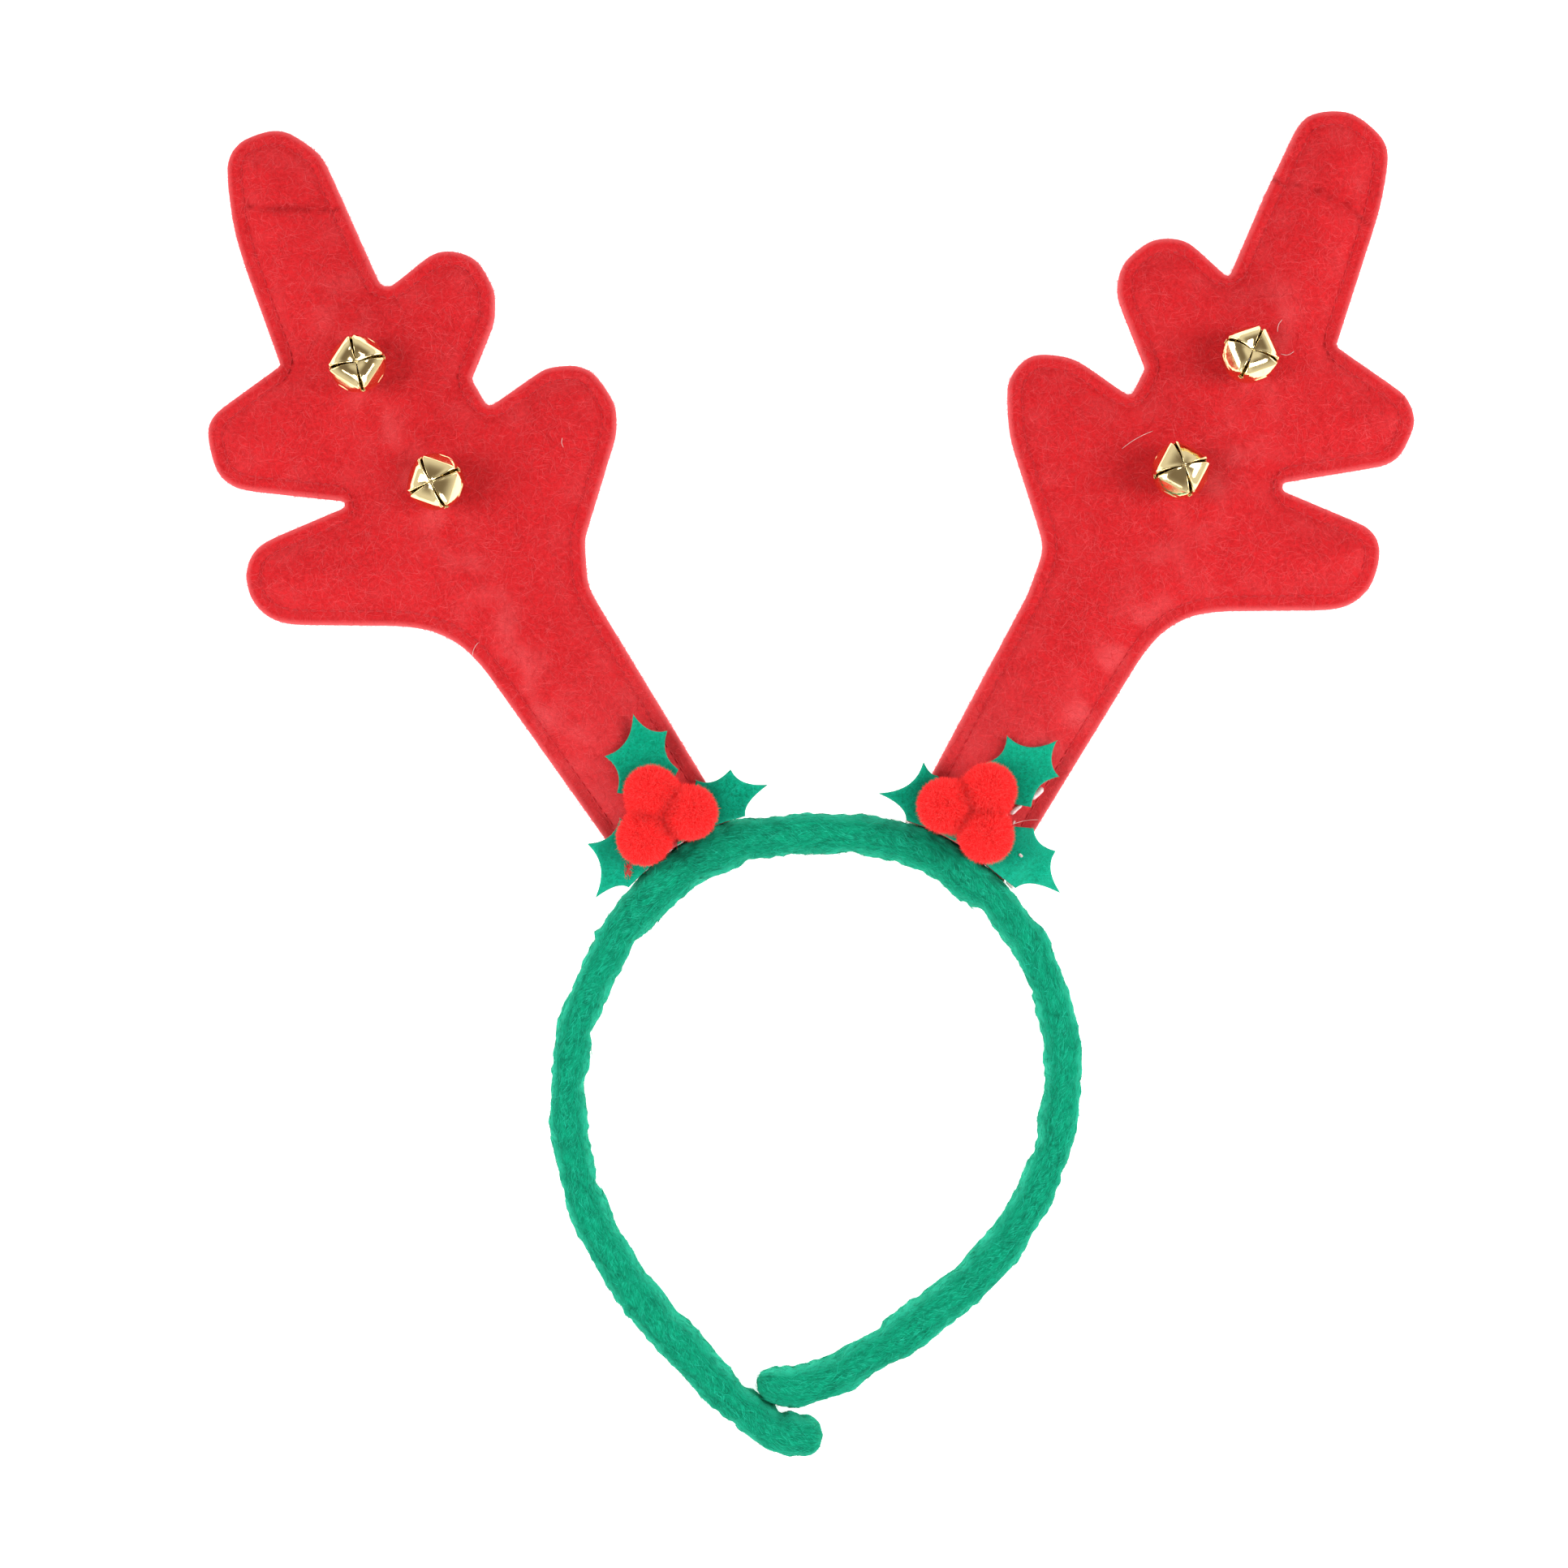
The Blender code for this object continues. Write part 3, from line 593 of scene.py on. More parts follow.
def tube(line, radius, sides=6, taper=True):
    """Points and faces of a thin round thread along a line."""
    line = np.asarray(line, float)
    onward = unit(np.gradient(line, axis=0))
    side = np.cross(onward, (0.0, 0.0, 1.0))
    flat = sizes_of(side) < 1e-6
    side[flat] = (1.0, 0.0, 0.0)
    side = unit(side)
    up = np.cross(side, onward)
    radii = np.full(len(line), radius)
    if taper:
        radii[[0, -1]] *= 0.35
    vertices = []
    for index in range(sides):
        turn = 2 * math.pi * index / sides
        vertices.append(line + (side * math.cos(turn) + up * math.sin(turn)) * radii[:, None])
    vertices = np.stack(vertices, axis=1).reshape(-1, 3)
    faces = []
    for ring in range(len(line) - 1):
        for index in range(sides):
            other = (index + 1) % sides
            faces.append((ring * sides + index, ring * sides + other,
                          (ring + 1) * sides + other, (ring + 1) * sides + index))
    faces.append(tuple(range(sides))[::-1])
    faces.append(tuple((len(line) - 1) * sides + index for index in range(sides)))
    return vertices, faces


def joined(parts):
    """Several sets of points and faces as one."""
    vertices, faces, first = [], [], 0
    for spots, sides in parts:
        vertices.append(spots)
        faces += [tuple(corner + first for corner in side) for side in sides]
        first += len(spots)
    return np.vstack(vertices), faces


# Materials


def set_inputs(tree, node, inputs):
    """A node's inputs, set or linked by name or number."""
    for key, value in inputs.items():
        if isinstance(value, bpy.types.NodeSocket):
            tree.links.new(value, node.inputs[key])
        else:
            node.inputs[key].default_value = value


def add_node(tree, kind, inputs=None, **settings):
    """A node with its settings and inputs."""
    made = tree.nodes.new(kind)
    for key, value in settings.items():
        setattr(made, key, value)
    set_inputs(tree, made, inputs or {})
    return made


def opaque(colour):
    """A colour of three numbers with its fourth."""
    return (*colour, 1.0)


def mixed(tree, share, first, second):
    """Colour between two colours, the first of which may be worked out by nodes."""
    if not isinstance(first, bpy.types.NodeSocket):
        first = opaque(first)
    return add_node(
        tree, "ShaderNodeMix", {0: share, 6: first, 7: opaque(second)}, data_type="RGBA",
    ).outputs[2]


def worked(tree, operation, first, second=0.0):
    """A number worked out from two others."""
    return add_node(tree, "ShaderNodeMath", {0: first, 1: second}, operation=operation).outputs[0]


def ranged(tree, value, low, high, start=0.0, end=1.0):
    """A number moved from one range to another and held there."""
    return add_node(
        tree, "ShaderNodeMapRange", {0: value, 1: low, 2: high, 3: start, 4: end},
        interpolation_type="SMOOTHSTEP",
    ).outputs[0]


def noise_of(tree, places, scale, detail=2.0, roughness=0.5):
    """Value of a noise texture at the places."""
    return add_node(
        tree, "ShaderNodeTexNoise",
        {"Vector": places, "Scale": scale, "Detail": detail, "Roughness": roughness},
    ).outputs["Fac"]


def raised(tree, height, strength, distance):
    """The surface's direction over fine relief."""
    inputs = {"Height": height, "Strength": strength, "Distance": distance}
    return add_node(tree, "ShaderNodeBump", inputs).outputs[0]


def named_value(tree, name):
    """A number painted on the mesh's points."""
    return add_node(tree, "ShaderNodeAttribute", attribute_name=name).outputs["Fac"]


def new_material(name):
    """An empty node material and its Principled shader."""
    made = bpy.data.materials.new(name)
    made.use_nodes = True
    return made, made.node_tree, made.node_tree.nodes["Principled BSDF"]


def fibre_pattern(tree, places, long, thin, low, high, comb):
    """Crossing layers of short bent fibres, from 0 to 1 on them; a comb below 1 aligns them."""
    wander = add_node(
        tree, "ShaderNodeTexNoise", {"Vector": places, "Scale": 1.3, "Detail": 1.0},
    ).outputs["Color"]
    offset = add_node(
        tree, "ShaderNodeVectorMath", {0: wander, 1: (0.5, 0.5, 0.5)}, operation="SUBTRACT",
    ).outputs[0]
    bent = add_node(
        tree, "ShaderNodeVectorMath", {0: offset, 1: (0.35, 0.35, 0.0), 2: places},
        operation="MULTIPLY_ADD",
    ).outputs[0]
    total = None
    for turn, start in FIBRE_ROWS:
        laid = add_node(
            tree, "ShaderNodeMapping",
            {"Vector": bent, "Location": (start, -start, 0.0), "Scale": (long, thin, 1.0),
             "Rotation": (0.0, 0.0, math.radians(comb * turn))},
            vector_type="TEXTURE",
        ).outputs[0]
        layer = ranged(tree, noise_of(tree, laid, 1.0, 1.5, 0.6), low, high)
        total = layer if total is None else worked(tree, "MAXIMUM", total, layer)
    return total


def felt(name, deep, plain, light, wear_and_highlight, sheen, pile=0.35, painted_rim_light=0.7, comb=1.0):
    """Pressed felt: mottled dye, crossing fibres, wear and painted highlights, painted light along the cut
    edge, painted shade, and a soft sheen.
    """
    material, tree, shader = new_material(name)
    places = add_node(tree, "ShaderNodeUVMap", uv_map="felt").outputs["UV"]
    fibres = fibre_pattern(tree, places, 0.20, 0.016, 0.54, 0.74, comb)
    hairs = fibre_pattern(tree, places, 0.42, 0.010, 0.66, 0.76, comb)
    drawn = add_node(tree, "ShaderNodeMapping", {"Vector": places, "Scale": (comb, 1.0, 1.0)}).outputs[0]
    mottle = ranged(tree, noise_of(tree, drawn, 11.0, 5.0, 0.7), 0.34, 0.66)
    broad = ranged(tree, noise_of(tree, places, 0.9, 2.0, 0.5), 0.35, 0.65)
    grain = noise_of(tree, places, 60.0, 2.0, 0.6)
    rubbed_and_lit = worked(tree, "MULTIPLY", named_value(tree, "wear_and_highlight"), ranged(tree, grain, 0.3, 0.7, 0.35, 1.0))
    dyed = mixed(tree, mottle, deep, plain)
    for share, colour in (
        (worked(tree, "MULTIPLY", broad, 0.35), plain),
        (worked(tree, "MULTIPLY", fibres, pile), light),
        (worked(tree, "MULTIPLY", hairs, pile * 1.1), wear_and_highlight),
        # painted highlights and wear, where the mesh gives them
        (rubbed_and_lit, wear_and_highlight),
        # painted light along the cut edge
        (worked(tree, "MULTIPLY", named_value(tree, "edge"), painted_rim_light), wear_and_highlight),
        # painted shade and painted shadow, in a darker copy of the deep dye
        (named_value(tree, "dark"), [value * 0.45 for value in deep]),
    ):
        dyed = mixed(tree, share, dyed, colour)
    relief = worked(tree, "MULTIPLY", fibres, 0.6)
    for layer in (mottle, grain):
        relief = worked(tree, "ADD", relief, worked(tree, "MULTIPLY", layer, 0.5))
    set_inputs(tree, shader, {
        "Base Color": dyed,
        "Roughness": ranged(tree, grain, 0.2, 0.8, 0.82, 1.0),
        "Sheen Weight": sheen,
        "Sheen Roughness": 0.45,
        "Sheen Tint": opaque(wear_and_highlight),
        "Specular IOR Level": 0.1,
        "Normal": raised(tree, relief, 0.55, 0.00022),
    })
    return material


def fibre(name, dark, light, sheen=0.3, painted_glow=0.0):
    """Loose fibres whose tone differs from one to the next; their glow is painted light, an emission in their
    lighter tone that lightens their shade.
    """
    material, tree, shader = new_material(name)
    tone = ranged(tree, named_value(tree, "tone"), 0.0, 1.0)
    set_inputs(tree, shader, {
        "Base Color": mixed(tree, tone, dark, light),
        "Roughness": 0.85,
        "Emission Color": opaque(light),
        "Emission Strength": painted_glow,
        "Sheen Weight": sheen,
        "Specular IOR Level": 0.1,
    })
    return material


def brass():
    """Bright thin brass: faintly uneven polish, tarnish at random spots and fine rub marks."""
    material, tree, shader = new_material("bell_brass")
    places = add_node(tree, "ShaderNodeTexCoord").outputs["Object"]
    cloud = noise_of(tree, places, 420.0, 3.0, 0.6)
    rub = add_node(
        tree, "ShaderNodeMapping", {"Vector": places, "Scale": (900.0, 5200.0, 2200.0)},
    ).outputs[0]
    scratch = ranged(tree, noise_of(tree, rub, 1.0, 2.0, 0.7), 0.5, 0.8, 0.0, 0.06)
    tarnish = ranged(tree, cloud, 0.62, 0.75, 0.0, 0.35)
    set_inputs(tree, shader, {
        "Base Color": mixed(tree, tarnish, (0.90, 0.72, 0.37), (0.60, 0.40, 0.14)),
        "Metallic": 1.0,
        "Roughness": worked(tree, "ADD", ranged(tree, cloud, 0.3, 0.7, 0.06, 0.13), scratch),
        "Normal": raised(tree, cloud, 0.05, 0.0002),
    })
    return material


def steel():
    """Dull steel of the loose balls in the bells."""
    material, tree, shader = new_material("pea_steel")
    places = add_node(tree, "ShaderNodeTexCoord").outputs["Object"]
    cloud = noise_of(tree, places, 900.0, 3.0, 0.6)
    set_inputs(tree, shader, {
        "Base Color": mixed(tree, cloud, (0.42, 0.41, 0.40), (0.62, 0.61, 0.59)),
        "Roughness": ranged(tree, cloud, 0.3, 0.7, 0.25, 0.5),
        "Metallic": 1.0,
    })
    return material


def glue():
    """Clear hot glue with a milky skin."""
    material, tree, shader = new_material("clear_glue")
    places = add_node(tree, "ShaderNodeTexCoord").outputs["Object"]
    cloud = noise_of(tree, places, 1500.0, 2.0, 0.5)
    set_inputs(tree, shader, {
        "Base Color": (0.95, 0.78, 0.77, 1.0),
        "Transmission Weight": 0.35,
        "IOR": 1.47,
        "Roughness": ranged(tree, cloud, 0.3, 0.7, 0.12, 0.4),
        "Normal": raised(tree, cloud, 0.4, 0.0002),
    })
    return material


def floor_paint():
    """The pale floor, lit from within so that it stays nearly white."""
    material, tree, shader = new_material("pale_floor")
    set_inputs(tree, shader, {
        "Base Color": (0.86, 0.86, 0.86, 1.0),
        "Roughness": 0.9,
        "Emission Color": (1.0, 1.0, 1.0, 1.0),
        "Emission Strength": 1.0,
    })
    return material


# Camera, light and floor


def set_camera():
    """A camera straight above, as in the photograph."""
    data = bpy.data.cameras.new("camera")
    data.lens = LENS
    data.sensor_width = SENSOR
    data.clip_start = 0.05
    data.clip_end = 20.0
    camera = add_object("camera", data)
    camera.location = Vector(EYE) * MM
    bpy.context.scene.camera = camera


def add_light(name, place, target, size, power):
    """A rectangular soft light aimed at a point."""
    data = bpy.data.lights.new(name, "AREA")
    data.shape = "RECTANGLE"
    data.size, data.size_y = size
    data.energy = power
    light = add_object(name, data)
    light.location = place
    light.rotation_mode = "QUATERNION"
    light.rotation_quaternion = (Vector(target) - Vector(place)).to_track_quat("-Z", "Y")


def set_light():
    """The soft boxes, and a pale room that is darker overhead."""
    for row in LIGHT_ROWS:
        add_light(*row)
    world = bpy.data.worlds.new("room")
    world.use_nodes = True
    tree = world.node_tree
    way = add_node(tree, "ShaderNodeTexCoord").outputs["Generated"]
    up = add_node(tree, "ShaderNodeSeparateXYZ", {0: way}).outputs["Z"]
    light = mixed(tree, ranged(tree, up, 0.25, 0.95), (1.0, 1.0, 1.0), (0.26, 0.22, 0.18))
    set_inputs(tree, tree.nodes["Background"], {"Color": light, "Strength": 0.85})
    bpy.context.scene.world = world
    bpy.context.scene.view_settings.view_transform = "Standard"


def add_floor():
    """A plain pale floor under the headband."""
    mesh = bpy.data.meshes.new("floor")
    corners = [(-1, -1), (1, -1), (1, 1), (-1, 1)]
    mesh.from_pydata([(x * FLOOR_HALF, y * FLOOR_HALF, 0) for x, y in corners], [], [(0, 1, 2, 3)])
    mesh.materials.append(floor_paint())
    floor = add_object("floor", mesh)
    floor.location.z = -FLOOR_DROP


# Antlers


class Antler:
    """Outline and heights of one antler."""

    def __init__(self, side):
        root, crease, ridge = ANTLER_ROWS[side]
        self.side = side
        self.root = placed(root)
        self.crease = placed_run(crease)
        self.ridge = np.array(ridge) * MM
        self.bells = [placed(row[1:3]) for row in BELL_ROWS if row[0].startswith(side)]
        stretches = fine_outline(f"antler_{side}_front", SHEET_STEP)
        base = min(range(len(stretches)), key=lambda index: stretches[index][:, 1].mean())
        self.ring = np.vstack(stretches)
        ordered = [*stretches[base + 1:], *stretches[:base]]
        self.sewn = np.vstack([*ordered, stretches[base][:1]])

    def swell(self, points):
        """Rise of the filling from 0 at the seam to 1 well inside it."""
        inside = np.clip((away(points, self.sewn) - SEAM_INSET) / SWELL_REACH, 0.0, 1.0)
        return 1 - (1 - inside) ** 2

    def middle(self, points):
        """Height of the seam's plane."""
        fall = np.clip(sizes_of(points - self.root) / ROOT_FALL, 0.0, 1.0)
        return REST_MIDDLE + (ROOT_MIDDLE - REST_MIDDLE) * (1 - fall * fall * (3 - 2 * fall))

    def crest(self, point):
        """Height of whatever lies on the front sheet."""
        return self.middle(np.array([point]))[0] + GAP / 2 + FRONT_SWELL + FELT + GAP

    def front_under(self, points):
        """Lower face of the front sheet."""
        swell = self.swell(points)
        fold = np.clip(1 - away(points, self.crease) / CREASE_HALF, 0.0, 1.0)
        under = self.middle(points) + GAP / 2 + swell * (FRONT_SWELL - CREASE_DEPTH * fold ** 1.5)
        for spot in self.bells:
            reach = np.clip(1 - sizes_of(points - spot) / DIMPLE_REACH, 0.0, 1.0)
            under -= DIMPLE_DEPTH * reach ** 2
        return under

    def front_over(self, points):
        """Upper face of the front sheet, with its seam, ridge and soft unevenness."""
        from_edge = away(points, self.sewn)
        swell = self.swell(points)
        over = self.front_under(points) + FELT
        over -= SEAM_SINK * fading(from_edge - SEAM_INSET, SEAM_HALF)
        pucker = ripple(points, 7.0 * MM, 11) * fading(from_edge - 5.0 * MM, 3.0 * MM)
        over += 0.13 * MM * pucker
        over += 0.28 * MM * swell * ripple(points, 26.0 * MM, 12)
        over += 0.05 * MM * ripple(points, 2.6 * MM, 13)
        off_root = smoothstep(32.0 * MM, 60.0 * MM, sizes_of(points - self.root))
        ridge = fading(away(points, self.ridge), RIDGE_HALF) * off_root * swell
        for spot in self.bells:
            ridge *= smoothstep(5.0 * MM, 12.0 * MM, sizes_of(points - spot))
        return over + RIDGE_RISE * ridge - 0.15 * MM * fading(away(points, self.crease), 0.35 * MM)

    def front(self, points, inset):
        """Lower and upper face of the front sheet."""
        return self.front_under(points) - 0.12 * MM, self.front_over(points) - rounded_drop(inset)

    def back(self, points, inset):
        """Lower and upper face of the back sheet."""
        swell = self.swell(points)
        under = self.middle(points) - GAP / 2 - FELT - BACK_SWELL * swell
        from_edge = away(points, self.sewn)
        groove = SEAM_SINK * fading(from_edge - SEAM_INSET, SEAM_HALF)
        over = np.maximum(under, 0.0) + FELT
        return np.maximum(under + groove, 0.0) + rounded_drop(inset), over + 0.12 * MM * (swell < 0.5)

    def ridge_highlight_and_patches(self, points):
        """Painted highlight along the filling's ridge, and lighter patches inside the seam and towards the
        root.
        """
        # painted highlight where the ridge faces the side lights
        ridge_highlight = fading(away(points, self.ridge), 5.0 * MM)
        patchy = smoothstep(-0.7, 1.1, ripple(points, 9.0 * MM, 21))
        outer = fading(away(points, self.sewn) - 5.5 * MM, 3.0 * MM)
        foot = 1 - smoothstep(20.0 * MM, 60.0 * MM, sizes_of(points - self.root))
        return np.clip(0.34 * ridge_highlight * patchy + 0.12 * outer * patchy + 0.22 * foot, 0.0, 1.0)

    def painted_shade(self, points):
        """Painted shade in the fold and in the seam's groove."""
        fold = fading(away(points, self.crease), 0.45 * MM)
        seam = fading(away(points, self.sewn) - SEAM_INSET, 0.45 * MM)
        return np.clip(0.55 * fold + 0.07 * seam, 0.0, 1.0)


def rounded_drop(inset):
    """How far a sheet's face lies below its plane near the cut edge."""
    share = 1 - np.clip(inset / EDGE_ROUND, 0.0, 1.0)
    return EDGE_ROUND * (1 - np.sqrt(1 - share ** 2))


def seam_line(antler):
    """The stitched line, a fixed distance inside the sewn edge."""
    ring = antler.ring
    places = ring + inward_normals(ring) * SEAM_INSET
    order = [int(np.argmin(sizes_of(ring - spot))) for spot in antler.sewn]
    run = places[order]
    run = run[away(run, antler.sewn) > 0.985 * SEAM_INSET][1:-1]
    for _ in range(2):
        run[1:-1] = 0.25 * run[:-2] + 0.5 * run[1:-1] + 0.25 * run[2:]
    return run


def stitches(name, antler, heights_at, side, material):
    """Running stitches along the seam, each a short thread that dives in at both ends."""
    line = spaced(seam_line(antler), STITCH_PITCH)
    random = np.random.default_rng(5)
    parts = []
    shares = np.linspace(0.0, 1.0, 6)
    for start, end in zip(line, line[1:]):
        step = (end - start) * STITCH_SHARE
        across = np.array([-step[1], step[0]]) * random.uniform(-0.06, 0.06)
        flat = np.array([start + step * share + across * (1 - share) for share in shares])
        arch = (-0.10 + 0.30 * np.sin(math.pi * shares)) * MM
        parts.append(tube(np.column_stack([flat, heights_at(flat) + side * arch]), THREAD))
    vertices, faces = joined(parts)
    return add_piece(name, vertices, faces, material)


def make_antler(side, paints):
    """Both sheets of an antler with their stitches and loose fibres."""
    antler = Antler(side)
    for face, heights in (("front", antler.front), ("back", antler.back)):
        piece, flat = felt_sheet(
            f"felt_{side}_{face}", antler.ring, SHEET_ROWS, SHEET_GRID, heights, paints["red"],
        )
        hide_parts(f"antler_{side}_{face}")
        # painted highlight along the ridge, and painted shade in the fold and the seam's groove
        paint_value(piece, "wear_and_highlight", antler.ridge_highlight_and_patches(flat))
        paint_value(piece, "dark", antler.painted_shade(flat))

    def back_bottom(points):
        return antler.back(points, np.full(len(points), 1.0))[0]

    front_thread = stitches(f"stitches_{side}_front", antler, antler.front_over, 1, paints["thread"])
    back_thread = stitches(f"stitches_{side}_back", antler, back_bottom, -1, paints["thread"])
    fuzz = antler_fuzz(antler, paints)
    return antler


def antler_fuzz(antler, paints):
    """Fibres lying on the front sheet and standing off its cut edge."""
    random = np.random.default_rng(31 if antler.side == "left" else 32)
    low, high = antler.ring.min(0), antler.ring.max(0)
    places = low + random.random((FRONT_FIBRES, 2)) * (high - low)
    places = places[is_inside(places, antler.ring)]
    places = places[away(places, antler.sewn) > 1.0 * MM]
    count = len(places)
    lengths = random.uniform(1.2, 4.2, count) * MM
    laid = lying_fibres(
        f"fibres_{antler.side}", places, antler.front_over, random.uniform(0, math.pi, count),
        lengths, 0.05 * MM, 0.10, paints["red_fibre"], 33,
    )
    count = EDGE_FIBRES
    picked = random.integers(0, len(antler.ring), count)
    outward = -inward_normals(antler.ring)[picked]
    along = turned_left(outward)
    flat = antler.ring[picked] + along * random.uniform(-0.5, 0.5, count)[:, None] * SHEET_STEP
    flat -= outward * 0.1 * MM
    low_face = antler.middle(flat) - GAP / 2 - FELT
    heights = low_face + random.random(count) * (2 * FELT + GAP)
    ways = unit(np.column_stack([
        outward + along * random.normal(0, 0.7, count)[:, None], random.normal(0, 0.55, count),
    ]))
    edge = strands(
        f"edge_fuzz_{antler.side}", np.column_stack([flat, heights]), ways,
        random.uniform(0.3, 1.0, count) * MM, np.full(count, 0.06 * MM), 0.5,
        paints["red_fibre"], 34,
    )
    return [laid, edge]


# Band


class Band:
    """The band's centre line, read by distance along it."""

    def __init__(self):
        rows = [(*placed(row), row[2] * MM) for row in BAND_ROWS]
        self.rows = smooth_rows(rows, 24)
        steps = sizes_of(np.diff(self.rows[:, :2], axis=0))
        self.reach = np.concatenate([[0.0], np.cumsum(steps)])
        self.length = self.reach[-1]
        onward = np.gradient(self.rows[:, :2], axis=0)
        self.outward = turned_left(unit(onward))

    def read(self, values, along):
        """Values of the line's rows at distances along it."""
        return np.stack([np.interp(along, self.reach, column) for column in values.T], axis=1)

    def nearest(self, point):
        """Distance along the line of the place nearest to a point."""
        return self.reach[np.argmin(sizes_of(self.rows[:, :2] - point))]

    def pinch(self, along):
        """How hard the felt is pinched on the inner side, from 0 to 1."""
        count = round((self.length - 2 * TIP_LENGTH) / GATHER_PITCH)
        pitch = (self.length - 2 * TIP_LENGTH) / count
        places, strengths = [0.0], [0.0]
        for index in range(count):
            start = TIP_LENGTH + index * pitch
            places += [start, start + 0.35 * pitch, start + 0.6 * pitch]
            strengths += [0.0, 0.15, 0.65 + 0.35 * math.sin(2.4 * index)]
        places += [self.length - TIP_LENGTH, self.length]
        strengths += [0.0, 0.0]
        return np.interp(along, places, strengths)


def make_band(paints):
    """The wrapped band: gathers, pleats, a lapped edge and woolly fuzz."""
    band = Band()
    stations = np.linspace(0.0, band.length, round(band.length / BAND_STEP) + 1)
    turns = 2 * math.pi * np.arange(BAND_AROUND) / BAND_AROUND
    power = 2 / BAND_SQUARE
    across = np.sign(np.cos(turns)) * np.abs(np.cos(turns)) ** power
    up = np.sign(np.sin(turns)) * np.abs(np.sin(turns)) ** power
    along, across = np.meshgrid(stations, across, indexing="ij")
    _, up = np.meshgrid(stations, up, indexing="ij")
    shape = along.shape
    along, across, up = along.ravel(), across.ravel(), up.ravel()
    rows = band.read(band.rows, along)
    outward = unit(band.read(band.outward, along))
    tip = np.clip(np.minimum(along, band.length - along) / TIP_LENGTH, 0.0, 1.0)
    tip = 0.02 + 0.98 * np.sqrt(1 - (1 - tip) ** 2)
    half = rows[:, 2] / 2
    pinch = band.pinch(along)
    inner = np.clip(-across, 0.0, 1.0)
    skewed = band.pinch(along + 2.2 * MM * up)
    reach = across * half * tip + GATHER_DEPTH * pinch * inner * tip
    field = np.column_stack([along, across * half * 1.6, up * BAND_HEIGHT / 2])
    puff = 0.30 * MM * ripple(field, 11.0 * MM, 41) + 0.20 * MM * ripple(field, 3.6 * MM, 42)
    puff += 0.07 * MM * ripple(field, 1.7 * MM, 45)
    pleat = -PLEAT_DEPTH * skewed ** 2 * smoothstep(-0.1, 0.9, inner) * (0.6 + 0.4 * up)
    over_top = (up > 0.2).astype(float)
    flap = np.zeros(len(along))
    shadow = np.zeros(len(along))
    for start, end, side in FLAP_ROWS:
        lap = over_top * smoothstep(start * MM, (start + FLAP_EASE) * MM, along)
        lap *= 1 - smoothstep((end - FLAP_EASE) * MM, end * MM, along)
        line = side + 0.06 * ripple(along[:, None], 17.0 * MM, 43)
        flap -= FLAP_STEP * lap * smoothstep(line - 0.05, line + 0.05, across)
        shadow += lap * fading(across - line - 0.03, 0.07)
    swollen = (puff + pleat + flap) * tip
    slant = np.maximum(np.hypot(across, up), 1e-6)
    reach += swollen * (across / slant)
    for x, y, height, length, side in TUFT_ROWS:
        near = fading(along - band.nearest(placed((x, y))), length * MM)
        reach += side * height * MM * near * np.clip(side * across, 0.0, 1.0) ** 2
    heights = BAND_HEIGHT / 2 * (1 + up * tip) + swollen * (up / slant)
    flat = rows[:, :2] + outward * reach[:, None]
    vertices = np.column_stack([flat, np.maximum(heights, 0.0)])
    faces = []
    for ring in range(shape[0] - 1):
        for index in range(BAND_AROUND):
            other = (index + 1) % BAND_AROUND
            first, second = ring * BAND_AROUND, (ring + 1) * BAND_AROUND
            faces.append((first + index, second + index, second + other, first + other))
    faces.append(tuple(range(BAND_AROUND)))
    faces.append(tuple(range(len(vertices) - BAND_AROUND, len(vertices)))[::-1])
    piece = add_piece("wrapped_band", vertices, faces, paints["green"])
    around = np.tile(np.arange(BAND_AROUND) / BAND_AROUND * BAND_GIRTH, shape[0])
    lay_map(piece, np.column_stack([along, around]))
    # painted shadow along the lapped edge of the felt
    paint_value(piece, "dark", np.clip(0.25 * shadow, 0.0, 1.0))
    # painted light on the band's flanks, lighter in patches
    painted_rim_light = smoothstep(0.55, 1.0, np.abs(across)) * (up > -0.8)
    patchy = smoothstep(-0.9, 0.9, ripple(field, 6.0 * MM, 44))
    paint_value(piece, "wear_and_highlight", painted_rim_light * (0.35 + 0.4 * patchy))
    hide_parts("headband")
    band_wool(piece, band, paints)
    slot_wool(piece, paints)


def band_wool(piece, band, paints):
    """Short wool standing off the band's felt, and longer fibres combed along it."""
    random = np.random.default_rng(51)
    for order, (name, count, along, stand, longest, width) in enumerate(WOOL_ROWS):
        places, normals = surface_spots(piece, count, 52 + order)
        clear = places[:, 2] > 1.2 * MM
        places, normals = places[clear], normals[clear]
        count = len(places)
        nearest = [band.nearest(place) for place in places[:, :2]]
        outward = band.read(band.outward, np.array(nearest))
        onward = np.column_stack([outward[:, 1], -outward[:, 0], np.zeros(count)])
        onward *= random.choice([-1.0, 1.0], count)[:, None]
        ways = normals * random.uniform(0.0, stand, count)[:, None] + along * onward
        ways += random.normal(0, 0.45, (count, 3))
        outer = (normals[:, :2] * outward).sum(1) > 0.3
        ways[outer, 2] += 0.5 * random.random(outer.sum())
        ways -= normals * np.minimum(0.0, (ways * normals).sum(1) - 0.04)[:, None]
        ways = unit(ways)
        lengths = random.uniform(0.3, 1.0, count) * longest * MM
        strands(
            name, places, ways, lengths, np.full(count, width * MM), 0.35,
            paints["green_fibre"], 53 + order,
        )


